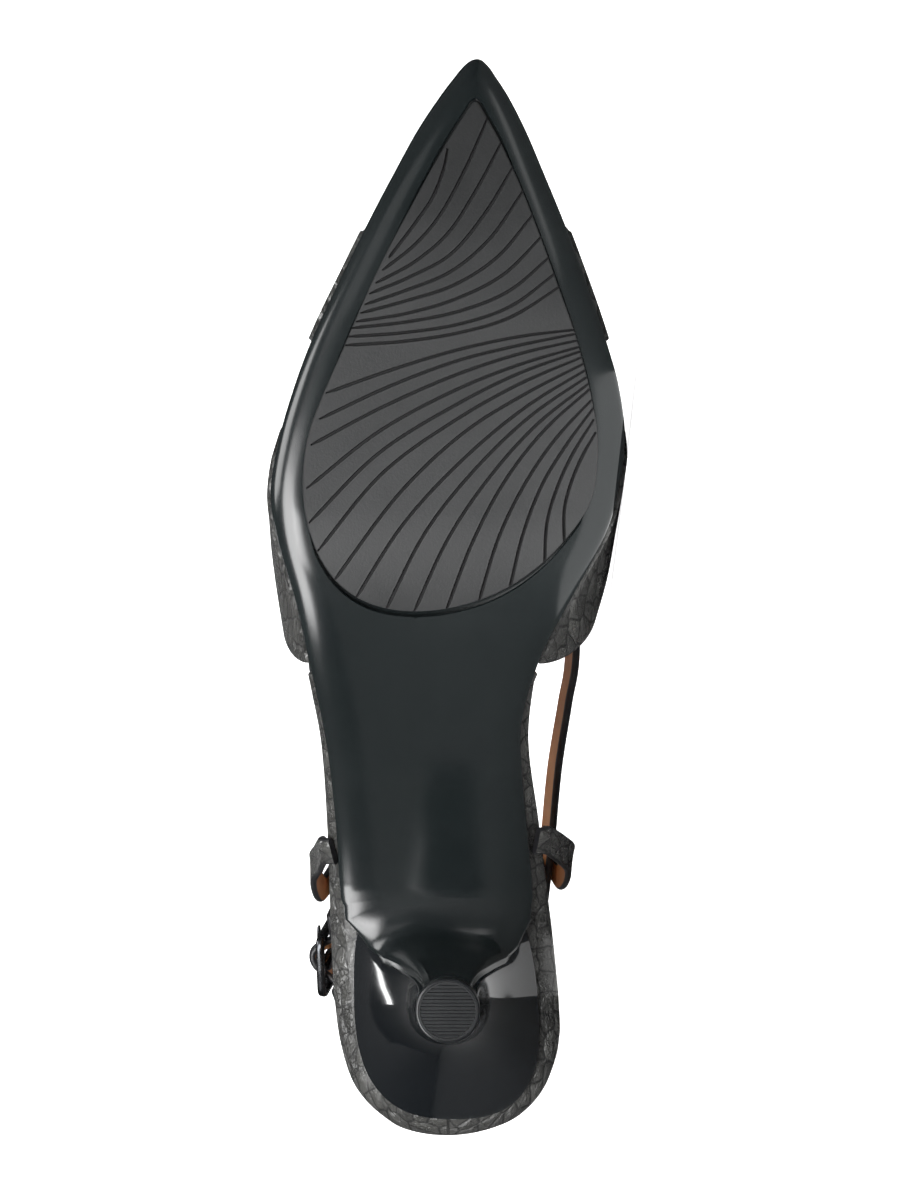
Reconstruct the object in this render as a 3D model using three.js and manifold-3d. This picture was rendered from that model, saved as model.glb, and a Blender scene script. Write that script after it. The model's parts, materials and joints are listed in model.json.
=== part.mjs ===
// A right-foot slingback pump with a pointed toe and a set-in kitten heel, lying on its side.
// The shoe is built standing, in millimetres: x runs to the lateral side, y from the back of the
// heel to the toe and z up from the ground. The last lines lay it on its side, toe towards +X.

import * as THREE from "three";
import { mergeVertices } from "three/addons/utils/BufferGeometryUtils.js";
import { ConvexHull } from "three/addons/math/ConvexHull.js";
import Module from "manifold-3d";

const wasm = await Module();
wasm.setup();

// Driving sizes
const shoeLength = 258;
const ballHalfWidth = 41;
const heelHeight = 50;
const toeSpring = 8;
const instepHeight = 63;
const clearance = 0.3;

// Outsole
const forepartThickness = 5;
const waistThickness = 3.4;
const flapThickness = 2;
const soleEdge = 1.4;
const lateralBevel = 8;
const medialBevel = 6.8;
const treadProud = 0.6;
const treadDepth = 1.4;

// Places along the foot, as shares of the length
const springStart = 0.756;
const ballBack = 0.59;
const seatFront = 0.147;
const breastTop = 0.244;
const vampBack = 0.455;
const vampCorner = { lateral: 0.495, medial: 0.512 };
const throat = 0.668;

// Heel
const seatLift = 3;
const tipRadius = 7.5;
const liftThickness = 6;
const tipAt = 0.1407;
const tipOffset = 0.5;
const breastRadius = 10;
const breastFoot = 0.156;
const seatHalfWidth = 23;
const seatSkew = 0.06;
const seatOverhang = 3.8;

// Footbed
const footbedHeight = 5.8;
const footbedRim = 2.4;
const cupDepth = 1.8;
const insoleThickness = 3.2;
const waistOverhang = 2.6;
const heelOverhang = 4.6;

// Upper
const upperWall = 2.2;
const bandThickness = 1.3;
const stepRun = 0.35;
const capShare = 0.35;
const widestShare = 0.34;
const sideShare = 0.18;
const cornerShare = 0.42;

// Straps
const strapWidth = 8;
const strapThickness = 1.9;
const strapLean = 0.24;
const slingHeight = 47;
const strapTuck = 9;
const tabWidth = 6.8;
const tabThickness = 1.6;
const tabTail = 5;
const tabFoot = { lateral: 0.274, medial: 0.284 };
const tabHead = { lateral: 0.236, medial: 0.25 };
const tabBow = { lateral: 4, medial: 7.2 };
const buckleLength = 17.8;
const buckleWidth = 14.8;
const buckleBar = 2.4;
const buckleThickness = 2.2;
const centreBar = 1;
const centreBarWidth = 1.6;
const prongWidth = 1.7;
const prongThickness = 0.9;
const foldThickness = 0.8;
const foldRows = 7;
const tailLength = 6;

// Which way the shoe lies, and what its pieces weigh in grams per cubic millimetre
const sideDown = -1;
const rubberDensity = 1.2e-3;
const plasticDensity = 1.1e-3;
const leatherDensity = 0.9e-3;
const metalDensity = 7.85e-3;

// The outsole's edge seen from above. Across is a share of ballHalfWidth, at is a share of the length.
const soleOutline = [
  { at: 0.205, lateral: 0.6, medial: 0.505 },
  { at: 0.24, lateral: 0.65, medial: 0.49 },
  { at: 0.291, lateral: 0.666, medial: 0.459 },
  { at: 0.36, lateral: 0.702, medial: 0.417 },
  { at: 0.399, lateral: 0.737, medial: 0.415 },
  { at: 0.459, lateral: 0.812, medial: 0.517 },
  { at: 0.512, lateral: 0.883, medial: 0.688 },
  { at: 0.5675, lateral: 0.985, medial: 0.876 },
  { at: 0.606, lateral: 1.018, medial: 0.952 },
  { at: 0.654, lateral: 0.971, medial: 0.993 },
  { at: 0.7, lateral: 0.888, medial: 0.96 },
  { at: 0.744, lateral: 0.785, medial: 0.885 },
  { at: 0.8167, lateral: 0.568, medial: 0.727 },
  { at: 0.89, lateral: 0.335, medial: 0.546 },
  { at: 0.936, lateral: 0.178, medial: 0.425 },
  { at: 0.964, lateral: 0.063, medial: 0.337 },
  { at: 0.986, lateral: -0.04, medial: 0.25 },
  { at: 1, lateral: -0.155, medial: 0.155 },
];

// The widest line of the upper, over the bands, as shares of ballHalfWidth, and its height over
// the feather edge as a share of instepHeight.
const girth = [
  { at: 0.4, lateral: 0.92, medial: 0.72, height: 0.98 },
  { at: 0.457, lateral: 0.955, medial: 0.79, height: 0.99 },
  { at: 0.491, lateral: 0.985, medial: 0.85, height: 0.985 },
  { at: 0.53, lateral: 1.018, medial: 0.915, height: 0.955 },
  { at: 0.5675, lateral: 1.04, medial: 0.955, height: 0.905 },
  { at: 0.62, lateral: 1.038, medial: 1.004, height: 0.8 },
  { at: 0.654, lateral: 1.0, medial: 1.017, height: 0.725 },
  { at: 0.7, lateral: 0.915, medial: 0.985, height: 0.63 },
  { at: 0.744, lateral: 0.806, medial: 0.906, height: 0.55 },
  { at: 0.8167, lateral: 0.584, medial: 0.75, height: 0.43 },
  { at: 0.89, lateral: 0.342, medial: 0.562, height: 0.325 },
  { at: 0.936, lateral: 0.178, medial: 0.433, height: 0.255 },
  { at: 0.964, lateral: 0.063, medial: 0.342, height: 0.198 },
  { at: 0.986, lateral: -0.04, medial: 0.253, height: 0.125 },
  { at: 1, lateral: -0.155, medial: 0.155, height: 0 },
];

// The footbed's outer edge behind the upper, as shares of ballHalfWidth.
const footbedOutline = [
  { at: -0.002, lateral: 0.02, medial: -0.02 },
  { at: 0.0055, lateral: 0.29, medial: 0.262 },
  { at: 0.0147, lateral: 0.385, medial: 0.39 },
  { at: 0.0337, lateral: 0.515, medial: 0.52 },
  { at: 0.053, lateral: 0.593, medial: 0.593 },
  { at: 0.091, lateral: 0.663, medial: 0.659 },
  { at: 0.129, lateral: 0.695, medial: 0.656 },
  { at: 0.15, lateral: 0.705, medial: 0.645 },
  { at: 0.205, lateral: 0.718, medial: 0.607 },
  { at: 0.302, lateral: 0.73, medial: 0.527 },
  { at: 0.38, lateral: 0.757, medial: 0.461 },
  { at: 0.435, lateral: 0.815, medial: 0.49 },
  { at: 0.446, lateral: 0.825, medial: 0.52 },
];

// The tread's edge, as shares of ballHalfWidth.
const treadOutline = [
  { at: 0.4995, lateral: 0.195, medial: -0.195 },
  { at: 0.5035, lateral: 0.4, medial: 0.03 },
  { at: 0.513, lateral: 0.54, medial: 0.225 },
  { at: 0.53, lateral: 0.665, medial: 0.42 },
  { at: 0.559, lateral: 0.77, medial: 0.625 },
  { at: 0.596, lateral: 0.827, medial: 0.788 },
  { at: 0.633, lateral: 0.827, medial: 0.832 },
  { at: 0.67, lateral: 0.778, medial: 0.824 },
  { at: 0.738, lateral: 0.598, medial: 0.729 },
  { at: 0.8, lateral: 0.427, medial: 0.595 },
  { at: 0.87, lateral: 0.2, medial: 0.432 },
  { at: 0.92, lateral: 0.027, medial: 0.295 },
  { at: 0.948, lateral: -0.082, medial: 0.2 },
  { at: 0.9597, lateral: -0.146, medial: 0.146 },
];

// Where the straps run behind the upper. Up is a share of slingHeight over the feather line.
const medialRoute = [
  { at: 0.452, across: -0.722, up: 0.8 },
  { at: 0.41, across: -0.678, up: 0.79 },
  { at: 0.35, across: -0.627, up: 0.765 },
  { at: 0.27, across: -0.595, up: 0.75 },
  { at: 0.19, across: -0.545, up: 0.85 },
  { at: 0.125, across: -0.5, up: 0.945 },
  { at: 0.072, across: -0.4, up: 0.985 },
  { at: 0.046, across: -0.2, up: 1 },
  { at: 0.04, across: 0.02, up: 1.005 },
];
const lateralRoute = [
  { at: 0.045, across: 0.24, up: 1 },
  { at: 0.062, across: 0.45, up: 0.985 },
  { at: 0.085, across: 0.6, up: 0.96 },
];
const frontRoute = [
  { at: 0.452, across: 0.8, up: 0.8 },
  { at: 0.41, across: 0.755, up: 0.78 },
  { at: 0.35, across: 0.705, up: 0.755 },
  { at: 0.275, across: 0.69, up: 0.74 },
];

const v3 = (x, y, z) => new THREE.Vector3(x, y, z);
const mix = THREE.MathUtils.lerp;
const ease = (t) => THREE.MathUtils.smoothstep(t, 0, 1);

// A smooth curve through one column of a table, whose rows run along the shoe. Stretch opens up
// a blunt end, so that a column may run into it at a right angle.
function column(table, name, at, stretch) {
  const s = stretch(at);
  const last = table.length - 1;
  let k = 0;
  while (k < last - 1 && stretch(table[k + 1].at) < s) k++;
  const place = (i) => stretch(table[i].at);
  const slope = (i) => {
    const a = Math.max(0, i - 1);
    const b = Math.min(last, i + 1);
    return (table[b][name] - table[a][name]) / (place(b) - place(a));
  };
  const span = place(k + 1) - place(k);
  const t = THREE.MathUtils.clamp((s - place(k)) / span, 0, 1);
  const [p, q] = [table[k][name], table[k + 1][name]];
  const [m, n] = [slope(k) * span, slope(k + 1) * span];
  const [t2, t3] = [t * t, t * t * t];
  return p * (2 * t3 - 3 * t2 + 1) + m * (t3 - 2 * t2 + t) + q * (3 * t2 - 2 * t3) + n * (t3 - t2);
}
const toToe = (at) => 1 - Math.sqrt(Math.max(0, 1 - at));
const fromToe = (s) => 1 - (1 - s) ** 2;
const toHeel = (at) => Math.sqrt(Math.max(0, at - footbedOutline[0].at));
const treadEnds = [treadOutline[0].at, treadOutline.at(-1).at];
const toBothEnds = (at) => {
  const share = (at - treadEnds[0]) / (treadEnds[1] - treadEnds[0]);
  return -Math.acos(THREE.MathUtils.clamp(2 * share - 1, -1, 1));
};

// The feather line: the underside of the footbed and the top of the outsole, over the length.
function featherHeight(y) {
  const at = y / shoeLength;
  const spring = Math.max(0, (at - springStart) / (1 - springStart)) ** 2;
  const climb = ease((ballBack - at) / (ballBack - seatFront));
  const seat = Math.max(0, 1 - at / seatFront) ** 2;
  return (
    forepartThickness + toeSpring * spring + (heelHeight - forepartThickness) * climb + seatLift * seat
  );
}

// Half-widths of the outsole at a length, lateral as +x and medial as -x
function soleSides(y) {
  const at = y / shoeLength;
  return {
    lateral: ballHalfWidth * column(soleOutline, "lateral", at, toToe),
    medial: -ballHalfWidth * column(soleOutline, "medial", at, toToe),
  };
}

// A closed mesh from points and faces given as point lists: equal points are merged, faces that
// collapse are dropped, and the faces are turned outwards.
function solid(faces) {
  const found = new Map();
  const points = [];
  const index = [];
  const number = (p) => {
    const key = [p.x, p.y, p.z].map((c) => Math.round(c * 1e4)).join();
    if (!found.has(key)) {
      found.set(key, points.length);
      points.push(p);
    }
    return found.get(key);
  };
  for (const face of faces) {
    const corners = face.map(number).filter((n, i, all) => n !== all[(i + 1) % all.length]);
    for (let i = 1; i + 1 < corners.length; i++) index.push(corners[0], corners[i], corners[i + 1]);
  }
  const clean = [];
  for (let i = 0; i < index.length; i += 3) {
    const [a, b, c] = index.slice(i, i + 3);
    if (a !== b && b !== c && c !== a) clean.push(a, b, c);
  }
  let volume = 0;
  for (let i = 0; i < clean.length; i += 3) {
    const [a, b, c] = clean.slice(i, i + 3).map((n) => points[n]);
    volume += a.dot(b.clone().cross(c));
  }
  if (volume < 0) clean.reverse();
  return new THREE.BufferGeometry().setFromPoints(points).setIndex(clean);
}

// Faces between neighbouring rows of points; each row is a closed ring if closed is true.
function between(rows, closed) {
  const faces = [];
  for (let i = 0; i + 1 < rows.length; i++) {
    const [a, b] = [rows[i], rows[i + 1]];
    const count = closed ? a.length : a.length - 1;
    for (let j = 0; j < count; j++) {
      const k = (j + 1) % a.length;
      faces.push([a[j], a[k], b[k]], [a[j], b[k], b[j]]);
    }
  }
  return faces;
}

// A lid over a ring, as a fan about its middle
function lid(ring, turned) {
  const middle = ring.reduce((sum, p) => sum.add(p), v3(0, 0, 0)).divideScalar(ring.length);
  return ring.map((p, i) => {
    const q = ring[(i + 1) % ring.length];
    return turned ? [middle, p, q] : [middle, q, p];
  });
}

// A solid through closed rings, with a lid at each end
function loft(rings) {
  return solid([...between(rings, true), ...lid(rings[0], false), ...lid(rings.at(-1), true)]);
}

// A wall between two grids of points with the same rows and columns
function wallOf(outer, inner) {
  const rim = (a, b) => between([a, b], false);
  const side = (grid, j) => grid.map((row) => row[j]);
  const last = outer[0].length - 1;
  const flip = (faces) => faces.map((f) => f.slice().reverse());
  return solid([
    ...between(outer, false),
    ...flip(between(inner, false)),
    ...rim(inner[0], outer[0]),
    ...rim(outer.at(-1), inner.at(-1)),
    ...rim(side(outer, 0), side(inner, 0)),
    ...rim(side(inner, last), side(outer, last)),
  ]);
}

function toManifold(geometry) {
  const bare = new THREE.BufferGeometry().setAttribute("position", geometry.getAttribute("position"));
  bare.setIndex(geometry.index);
  const merged = mergeVertices(bare, 1e-4);
  return new wasm.Manifold(
    new wasm.Mesh({
      numProp: 3,
      vertProperties: new Float32Array(merged.attributes.position.array),
      triVerts: new Uint32Array(merged.index.array),
    }),
  );
}

function fromManifold(body) {
  const mesh = body.getMesh();
  return new THREE.BufferGeometry()
    .setAttribute("position", new THREE.BufferAttribute(new Float32Array(mesh.vertProperties), 3))
    .setIndex(new THREE.BufferAttribute(new Uint32Array(mesh.triVerts), 1));
}

// Heel

// The heel's section at a share of its depth, 0 at the seat and 1 at the top lift: a point in plan
function heelPoint(angle, depth) {
  const [c, s] = [Math.cos(angle), Math.sin(angle)];
  const middle = 0.118 * shoeLength;
  const front = 0.27 * shoeLength;
  const rounding = 0.78;
  const seatY = s > 0 ? mix(middle, front, s ** rounding) : mix(middle, seatOverhang, (-s) ** rounding);
  const seatX = Math.sign(c) * seatHalfWidth * Math.abs(c) ** rounding + 0.8 + seatSkew * (seatY - middle);
  const tipX = tipOffset + (tipRadius + 0.1) * c;
  const tipY = tipAt * shoeLength + (tipRadius + 0.1) * s;
  const narrowing = 1 - (1 - depth) ** 2.7;
  const sweep = s > 0 ? depth ** 0.8 : 1 - (1 - depth) ** 3;
  return { x: mix(seatX, tipX, narrowing), y: mix(seatY, tipY, sweep) };
}
const seatTop = (y) => featherHeight(y) - clearance;
const heelFoot = liftThickness + clearance;

// The breast: the line down which the outsole's flap runs, as points of {y, z} from the waist
function breastLine() {
  const startY = breastTop * shoeLength;
  const startZ = featherHeight(startY);
  const step = 0.01;
  const slope = (featherHeight(startY - step) - startZ) / step;
  const startAngle = Math.atan(slope);
  const centre = {
    y: startY - breastRadius * Math.sin(startAngle),
    z: startZ - breastRadius * Math.cos(startAngle),
  };
  const foot = { y: breastFoot * shoeLength, z: heelFoot + 0.4 };
  const steepest = 0.41 * Math.PI;
  const line = [];
  const arcSteps = 9;
  for (let i = 0; i <= arcSteps; i++) {
    const a = mix(startAngle, -steepest, i / arcSteps);
    line.push({ y: centre.y - breastRadius * Math.sin(-a), z: centre.z + breastRadius * Math.cos(a) });
  }
  const end = line.at(-1);
  const along = { y: -Math.cos(steepest), z: -Math.sin(steepest) };
  const drop = 8;
  for (let i = 1; i <= drop; i++) {
    const t = i / drop;
    const reach = Math.hypot(foot.y - end.y, foot.z - end.z);
    const bend = { y: end.y + along.y * reach * 0.4, z: end.z + along.z * reach * 0.4 };
    const [a, b, c] = [(1 - t) ** 2, 2 * t * (1 - t), t * t];
    line.push({ y: a * end.y + b * bend.y + c * foot.y, z: a * end.z + b * bend.z + c * foot.z });
  }
  return line;
}
const breast = breastLine();

// How far forward the heel may reach at a height, behind the breast line
function breastLimit(z) {
  for (let i = 0; i + 1 < breast.length; i++) {
    const [a, b] = [breast[i], breast[i + 1]];
    if (a.z >= z && z >= b.z) return mix(a.y, b.y, (a.z - z) / (a.z - b.z)) - 1.3 * clearance;
  }
  return z > breast[0].z ? breast[1].y : breast.at(-1).y - 1.3 * clearance;
}

// The heel's side where its surface passes a place in side view
function heelSide(sign, y, z) {
  const top = seatTop(y);
  const depth = THREE.MathUtils.clamp((top - z) / (top - heelFoot), 0, 1);
  let [low, high] = [0, Math.PI / 2];
  for (let i = 0; i < 30; i++) {
    const middle = (low + high) / 2;
    if (heelPoint(middle, depth).y < y) low = middle;
    else high = middle;
  }
  return heelPoint(sign > 0 ? low : Math.PI - low, depth).x;
}

function heelGeometry() {
  const around = 36;
  const levels = [0, 0.03, 0.08, 0.15, 0.24, 0.34, 0.46, 0.6, 0.75, 0.88, 1];
  const front = breastTop * shoeLength - 6;
  const rings = levels.map((depth) => {
    const ring = [];
    for (let i = 0; i < around; i++) {
      const p = heelPoint((2 * Math.PI * i) / around, depth);
      let y = Math.min(p.y, front);
      for (let k = 0; k < 3; k++) y = Math.min(y, breastLimit(mix(seatTop(y), heelFoot, depth)));
      ring.push(v3(p.x, y, mix(seatTop(y), heelFoot, depth)));
    }
    return ring;
  });
  return loft(rings);
}

// The top lift: a short round block with a bevelled edge
function topLiftGeometry() {
  const edge = 0.5;
  const profile = [
    [0, 0],
    [tipRadius - edge, 0],
    [tipRadius, edge],
    [tipRadius, liftThickness],
    [0, liftThickness],
  ];
  return new THREE.LatheGeometry(
    profile.map(([r, z]) => new THREE.Vector2(r, z)),
    40,
  ).rotateX(Math.PI / 2);
}

// Outsole

// One ring of the outsole: top is where its upper face crosses the middle plane, and into is the
// unit direction in side view from the shoe's inside to its outside.
function soleRing(top, into, sides, thickness, bevels) {
  const half = (sides.lateral - sides.medial) / 2;
  const full = Math.min(1, half / Math.max(bevels.lateral, bevels.medial));
  const deep = mix(soleEdge, thickness, Math.sin((full * Math.PI) / 2));
  const place = (x, depth) => v3(x, top.y + into.y * depth, top.z + into.z * depth);
  const steps = 5;
  const ring = [sides.medial, (sides.medial + sides.lateral) / 2, sides.lateral].map((x) => place(x, 0));
  for (let i = 0; i <= steps; i++) {
    const a = (i / steps) * (Math.PI / 2);
    const inset = Math.min(bevels.lateral, half) * (1 - Math.cos(a));
    ring.push(place(sides.lateral - inset, mix(soleEdge, deep, Math.sin(a))));
  }
  for (let i = steps; i >= 0; i--) {
    const a = (i / steps) * (Math.PI / 2);
    const inset = Math.min(bevels.medial, half) * (1 - Math.cos(a));
    ring.push(place(sides.medial + inset, mix(soleEdge, deep, Math.sin(a))));
  }
  return ring;
}

function outsoleRings() {
  const rings = [];
  const stations = 34;
  const [first, last] = [1, toToe(breastTop)];
  const slopeStep = 0.05;
  for (let i = 0; i < stations; i++) {
    const y = shoeLength * fromToe(mix(first, last, i / stations));
    const slope = (featherHeight(y - slopeStep) - featherHeight(y + slopeStep)) / (2 * slopeStep);
    const lean = Math.atan(slope);
    const waist = ease((0.56 - y / shoeLength) / 0.12);
    const thickness = mix(forepartThickness - treadProud, waistThickness, waist);
    const into = { y: -Math.sin(lean), z: -Math.cos(lean) };
    const wide = mix(1, 1.25, waist);
    rings.push(
      soleRing({ y, z: featherHeight(y) }, into, soleSides(y), thickness, {
        lateral: lateralBevel * wide,
        medial: medialBevel * wide,
      }),
    );
  }
  // The flap narrows with the heel behind it
  breast.forEach((p, i) => {
    const before = breast[Math.max(0, i - 1)];
    const after = breast[Math.min(breast.length - 1, i + 1)];
    const run = Math.hypot(after.y - before.y, after.z - before.z);
    const into = { y: -(after.z - before.z) / run, z: (after.y - before.y) / run };
    const down = i / (breast.length - 1);
    const thickness = mix(waistThickness, flapThickness, ease(down * 2));
    const outer = { y: p.y + into.y * thickness, z: p.z + into.z * thickness };
    const waistSides = soleSides(Math.max(p.y, 0.205 * shoeLength));
    const turn = ease((down - 0.05) * 2.5);
    const sides = {
      lateral: mix(waistSides.lateral, heelSide(1, outer.y, outer.z), turn),
      medial: mix(waistSides.medial, heelSide(-1, outer.y, outer.z), turn),
    };
    const narrow = (sides.lateral - sides.medial) * mix(0.22, 0.12, turn);
    rings.push(soleRing(p, into, sides, thickness, { lateral: narrow, medial: narrow }));
  });
  return rings;
}

// The tread fills a recess in the outsole; grown is how much wider and deeper it is made.
function treadGeometry(grown) {
  const stations = 30;
  const rings = [];
  const bottom = (y) => featherHeight(y) - forepartThickness;
  for (let i = 0; i <= stations; i++) {
    const share = (1 - Math.cos((Math.PI * i) / stations)) / 2;
    const at = mix(treadEnds[0], treadEnds[1], share);
    const middle = (shoeLength * (treadEnds[0] + treadEnds[1])) / 2;
    const half = (shoeLength * (treadEnds[1] - treadEnds[0])) / 2;
    const y = middle + ((at * shoeLength - middle) * (half + grown)) / half;
    const swell = grown * Math.sin((Math.PI * i) / stations) ** 0.5;
    const lateral = ballHalfWidth * column(treadOutline, "lateral", at, toBothEnds) + swell;
    const medial = -ballHalfWidth * column(treadOutline, "medial", at, toBothEnds) - swell;
    const low = bottom(y) - 4 * grown;
    const high = bottom(y) + treadProud + treadDepth + grown;
    rings.push([v3(medial, y, low), v3(lateral, y, low), v3(lateral, y, high), v3(medial, y, high)]);
  }
  return loft(rings);
}

function outsoleGeometry() {
  const body = toManifold(loft(outsoleRings()));
  return fromManifold(body.subtract(toManifold(treadGeometry(clearance))));
}

// Upper

// The outside of the upper, under the bands: along is y, and across runs from 0 at the medial
// feather edge over the instep to 1 at the lateral one.
function upperSurface(y, across) {
  const at = y / shoeLength;
  const lateral = across > 0.5;
  const name = lateral ? "lateral" : "medial";
  const sign = lateral ? 1 : -1;
  const share = lateral ? 1 - across : across;
  const sides = soleSides(y);
  const ridge = mix(sides.medial, sides.lateral, 0.47);
  const shrink = Math.min(1, (shoeLength - y) / 12);
  const over = bandThickness * ease(shrink);
  const foot = Math.abs(sides[name] - ridge);
  const widest = Math.abs(ballHalfWidth * column(girth, name, at, toToe) - sign * ridge) - over;
  const height = instepHeight * column(girth, "height", at, toToe) - over;
  const knee = height * widestShare;
  const base = featherHeight(y) + clearance;
  if (share < sideShare) {
    const t = share / sideShare;
    const reach = mix(foot - 0.3 * over, Math.max(widest, foot - over), 1 - (1 - t) ** 2);
    return v3(ridge + sign * reach, y, base + knee * t);
  }
  const a = ((share - sideShare) / (0.5 - sideShare)) * (Math.PI / 2);
  const reach = Math.max(widest, foot - over);
  return v3(ridge + sign * reach * Math.cos(a) ** 0.94, y, base + knee + (height - knee) * Math.sin(a));
}

// The same surface moved outwards by a distance
function upperOffset(y, across, distance) {
  const p = upperSurface(y, across);
  if (distance === 0) return p;
  const step = 0.004;
  const low = Math.max(0, across - step);
  const high = Math.min(1, across + step);
  const near = Math.min(y, shoeLength * 0.996);
  const acrossWay = upperSurface(near, high).sub(upperSurface(near, low));
  const alongWay = upperSurface(near + 0.5, across).sub(upperSurface(near - 0.5, across));
  const normal = acrossWay.cross(alongWay).normalize();
  if (normal.z < -0.35) normal.z = -0.35;
  const base = featherHeight(y) + clearance;
  p.addScaledVector(normal.normalize(), distance);
  p.z = Math.max(p.z, base);
  if (across === 0 || across === 1) p.z = base;
  return p;
}

// How far back the upper reaches, from the feather edge over the corner to the throat
function vampEdge(across) {
  const q = Math.abs(across - 0.5) * 2;
  const corner = across > 0.5 ? vampCorner.lateral : vampCorner.medial;
  const side = mix(corner, vampBack, ease((q - cornerShare) / (1 - cornerShare)));
  const opening = mix(throat, corner, Math.min(1, q / cornerShare) ** 2.2);
  return shoeLength * (q < cornerShare ? opening : side);
}

const acrossSteps = [
  0, 0.045, 0.1, 0.15, 0.19, 0.225, 0.25, 0.27, 0.285, 0.3, 0.32, 0.345, 0.375, 0.41, 0.44, 0.47, 0.5,
];
const acrossList = [...acrossSteps, ...acrossSteps.slice(0, -1).reverse().map((a) => 1 - a)];

// The upper in strips from its rear edge to the toe: front is the strip's front edge at the sides
// and over the instep as shares of the length, and thick is how far the strip stands out.
const strips = [
  { front: { side: 0.641, top: 0.752 }, thick: 1, rows: 7 },
  { front: { side: 0.742, top: 0.79 }, thick: 0, rows: 3 },
  { front: { side: 0.842, top: 0.872 }, thick: 1, rows: 3 },
  { front: { side: 0.868, top: 0.892 }, thick: 0, rows: 1 },
  { front: { side: 1, top: 1 }, thick: capShare, rows: 9 },
];

function stripEdge(strip, across) {
  const q = Math.abs(across - 0.5) * 2;
  return shoeLength * mix(strip.front.top, strip.front.side, ease(q ** 0.8));
}

function upperGrid(inward) {
  const rows = [];
  const toeX = soleSides(shoeLength).lateral;
  strips.forEach((strip, n) => {
    for (let i = 0; i <= strip.rows; i++) {
      const atToe = n === strips.length - 1 && i === strip.rows;
      rows.push(
        acrossList.map((across) => {
          const back = n === 0 ? vampEdge(across) : stripEdge(strips[n - 1], across) + stepRun;
          const [a, b] = [toToe(back / shoeLength), toToe(stripEdge(strip, across) / shoeLength)];
          const y = shoeLength * fromToe(mix(a, b, i / strip.rows));
          if (atToe) return v3(toeX, shoeLength - 1.6 * inward, featherHeight(shoeLength) + clearance);
          const nearToe = ease((y / shoeLength - 0.93) / 0.07);
          const p = upperOffset(y, across, inward ? -inward : strip.thick * bandThickness);
          p.y -= inward * 1.6 * nearToe;
          return p;
        }),
      );
    }
  });
  return rows;
}

function upperGeometry() {
  return wallOf(upperGrid(0), upperGrid(upperWall));
}

// Footbed

// The edge of the footbed in plan, once round: {x, y, out}, out being the outward unit direction
function footbedLoop() {
  const toeEnd = shoeLength - 10 * upperWall;
  const inside = (y) => {
    const sides = soleSides(y);
    const innerWall = upperWall + 2 * clearance + 0.5 + upperWall * ease((y / shoeLength - 0.83) / 0.1);
    return { lateral: sides.lateral - innerWall, medial: sides.medial + innerWall };
  };
  const outside = (y) => ({
    lateral: ballHalfWidth * column(footbedOutline, "lateral", y / shoeLength, toHeel),
    medial: -ballHalfWidth * column(footbedOutline, "medial", y / shoeLength, toHeel),
  });
  const join = [vampBack * shoeLength - 3.4, vampBack * shoeLength - 0.8];
  const sidesAt = (y) => {
    if (y >= join[1]) return inside(y);
    if (y <= join[0]) return outside(y);
    const t = ease((y - join[0]) / (join[1] - join[0]));
    const [a, b] = [outside(join[0]), inside(join[1])];
    return { lateral: mix(a.lateral, b.lateral, t), medial: mix(a.medial, b.medial, t) };
  };
  const stations = [];
  const rearSteps = 24;
  const heelEnd = footbedOutline[0].at * shoeLength;
  for (let i = 0; i <= rearSteps; i++) stations.push(mix(heelEnd, join[0], (i / rearSteps) ** 2));
  stations.push((join[0] + join[1]) / 2, join[1]);
  const frontSteps = 16;
  const startS = toToe(join[1] / shoeLength);
  const endS = toToe(toeEnd / shoeLength);
  for (let i = 1; i <= frontSteps; i++) {
    stations.push(shoeLength * fromToe(mix(startS, endS, i / frontSteps)));
  }
  const lateral = stations.map((y) => v3(sidesAt(y).lateral, y, 0));
  const medial = stations.map((y) => v3(sidesAt(y).medial, y, 0)).reverse();
  const loop = [...lateral, ...medial.slice(0, -1)];
  const count = loop.length;
  return loop.map((p, i) => {
    const along = loop[(i + 1) % count].clone().sub(loop[(i + count - 1) % count]).normalize();
    return { x: p.x, y: p.y, out: v3(along.y, -along.x, 0) };
  });
}

// The footbed's side from its lower edge up: how far inside the outline, as a share of its
// overhang, and how high, as a share of its height.
const sideProfile = [
  { inset: 1, lift: 0 },
  { inset: 0.42, lift: 0.24 },
  { inset: 0.06, lift: 0.55 },
  { inset: 0.06, lift: 0.9 },
];
const footbedJoin = vampBack * shoeLength - 1.5;
const openShare = (y) => ease((footbedJoin - y) / 4);
const overhang = (y) => mix(waistOverhang, heelOverhang, ease((90 - y) / 60)) * openShare(y);
const footbedFull = (y) => mix(insoleThickness, footbedHeight, openShare(y));

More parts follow.
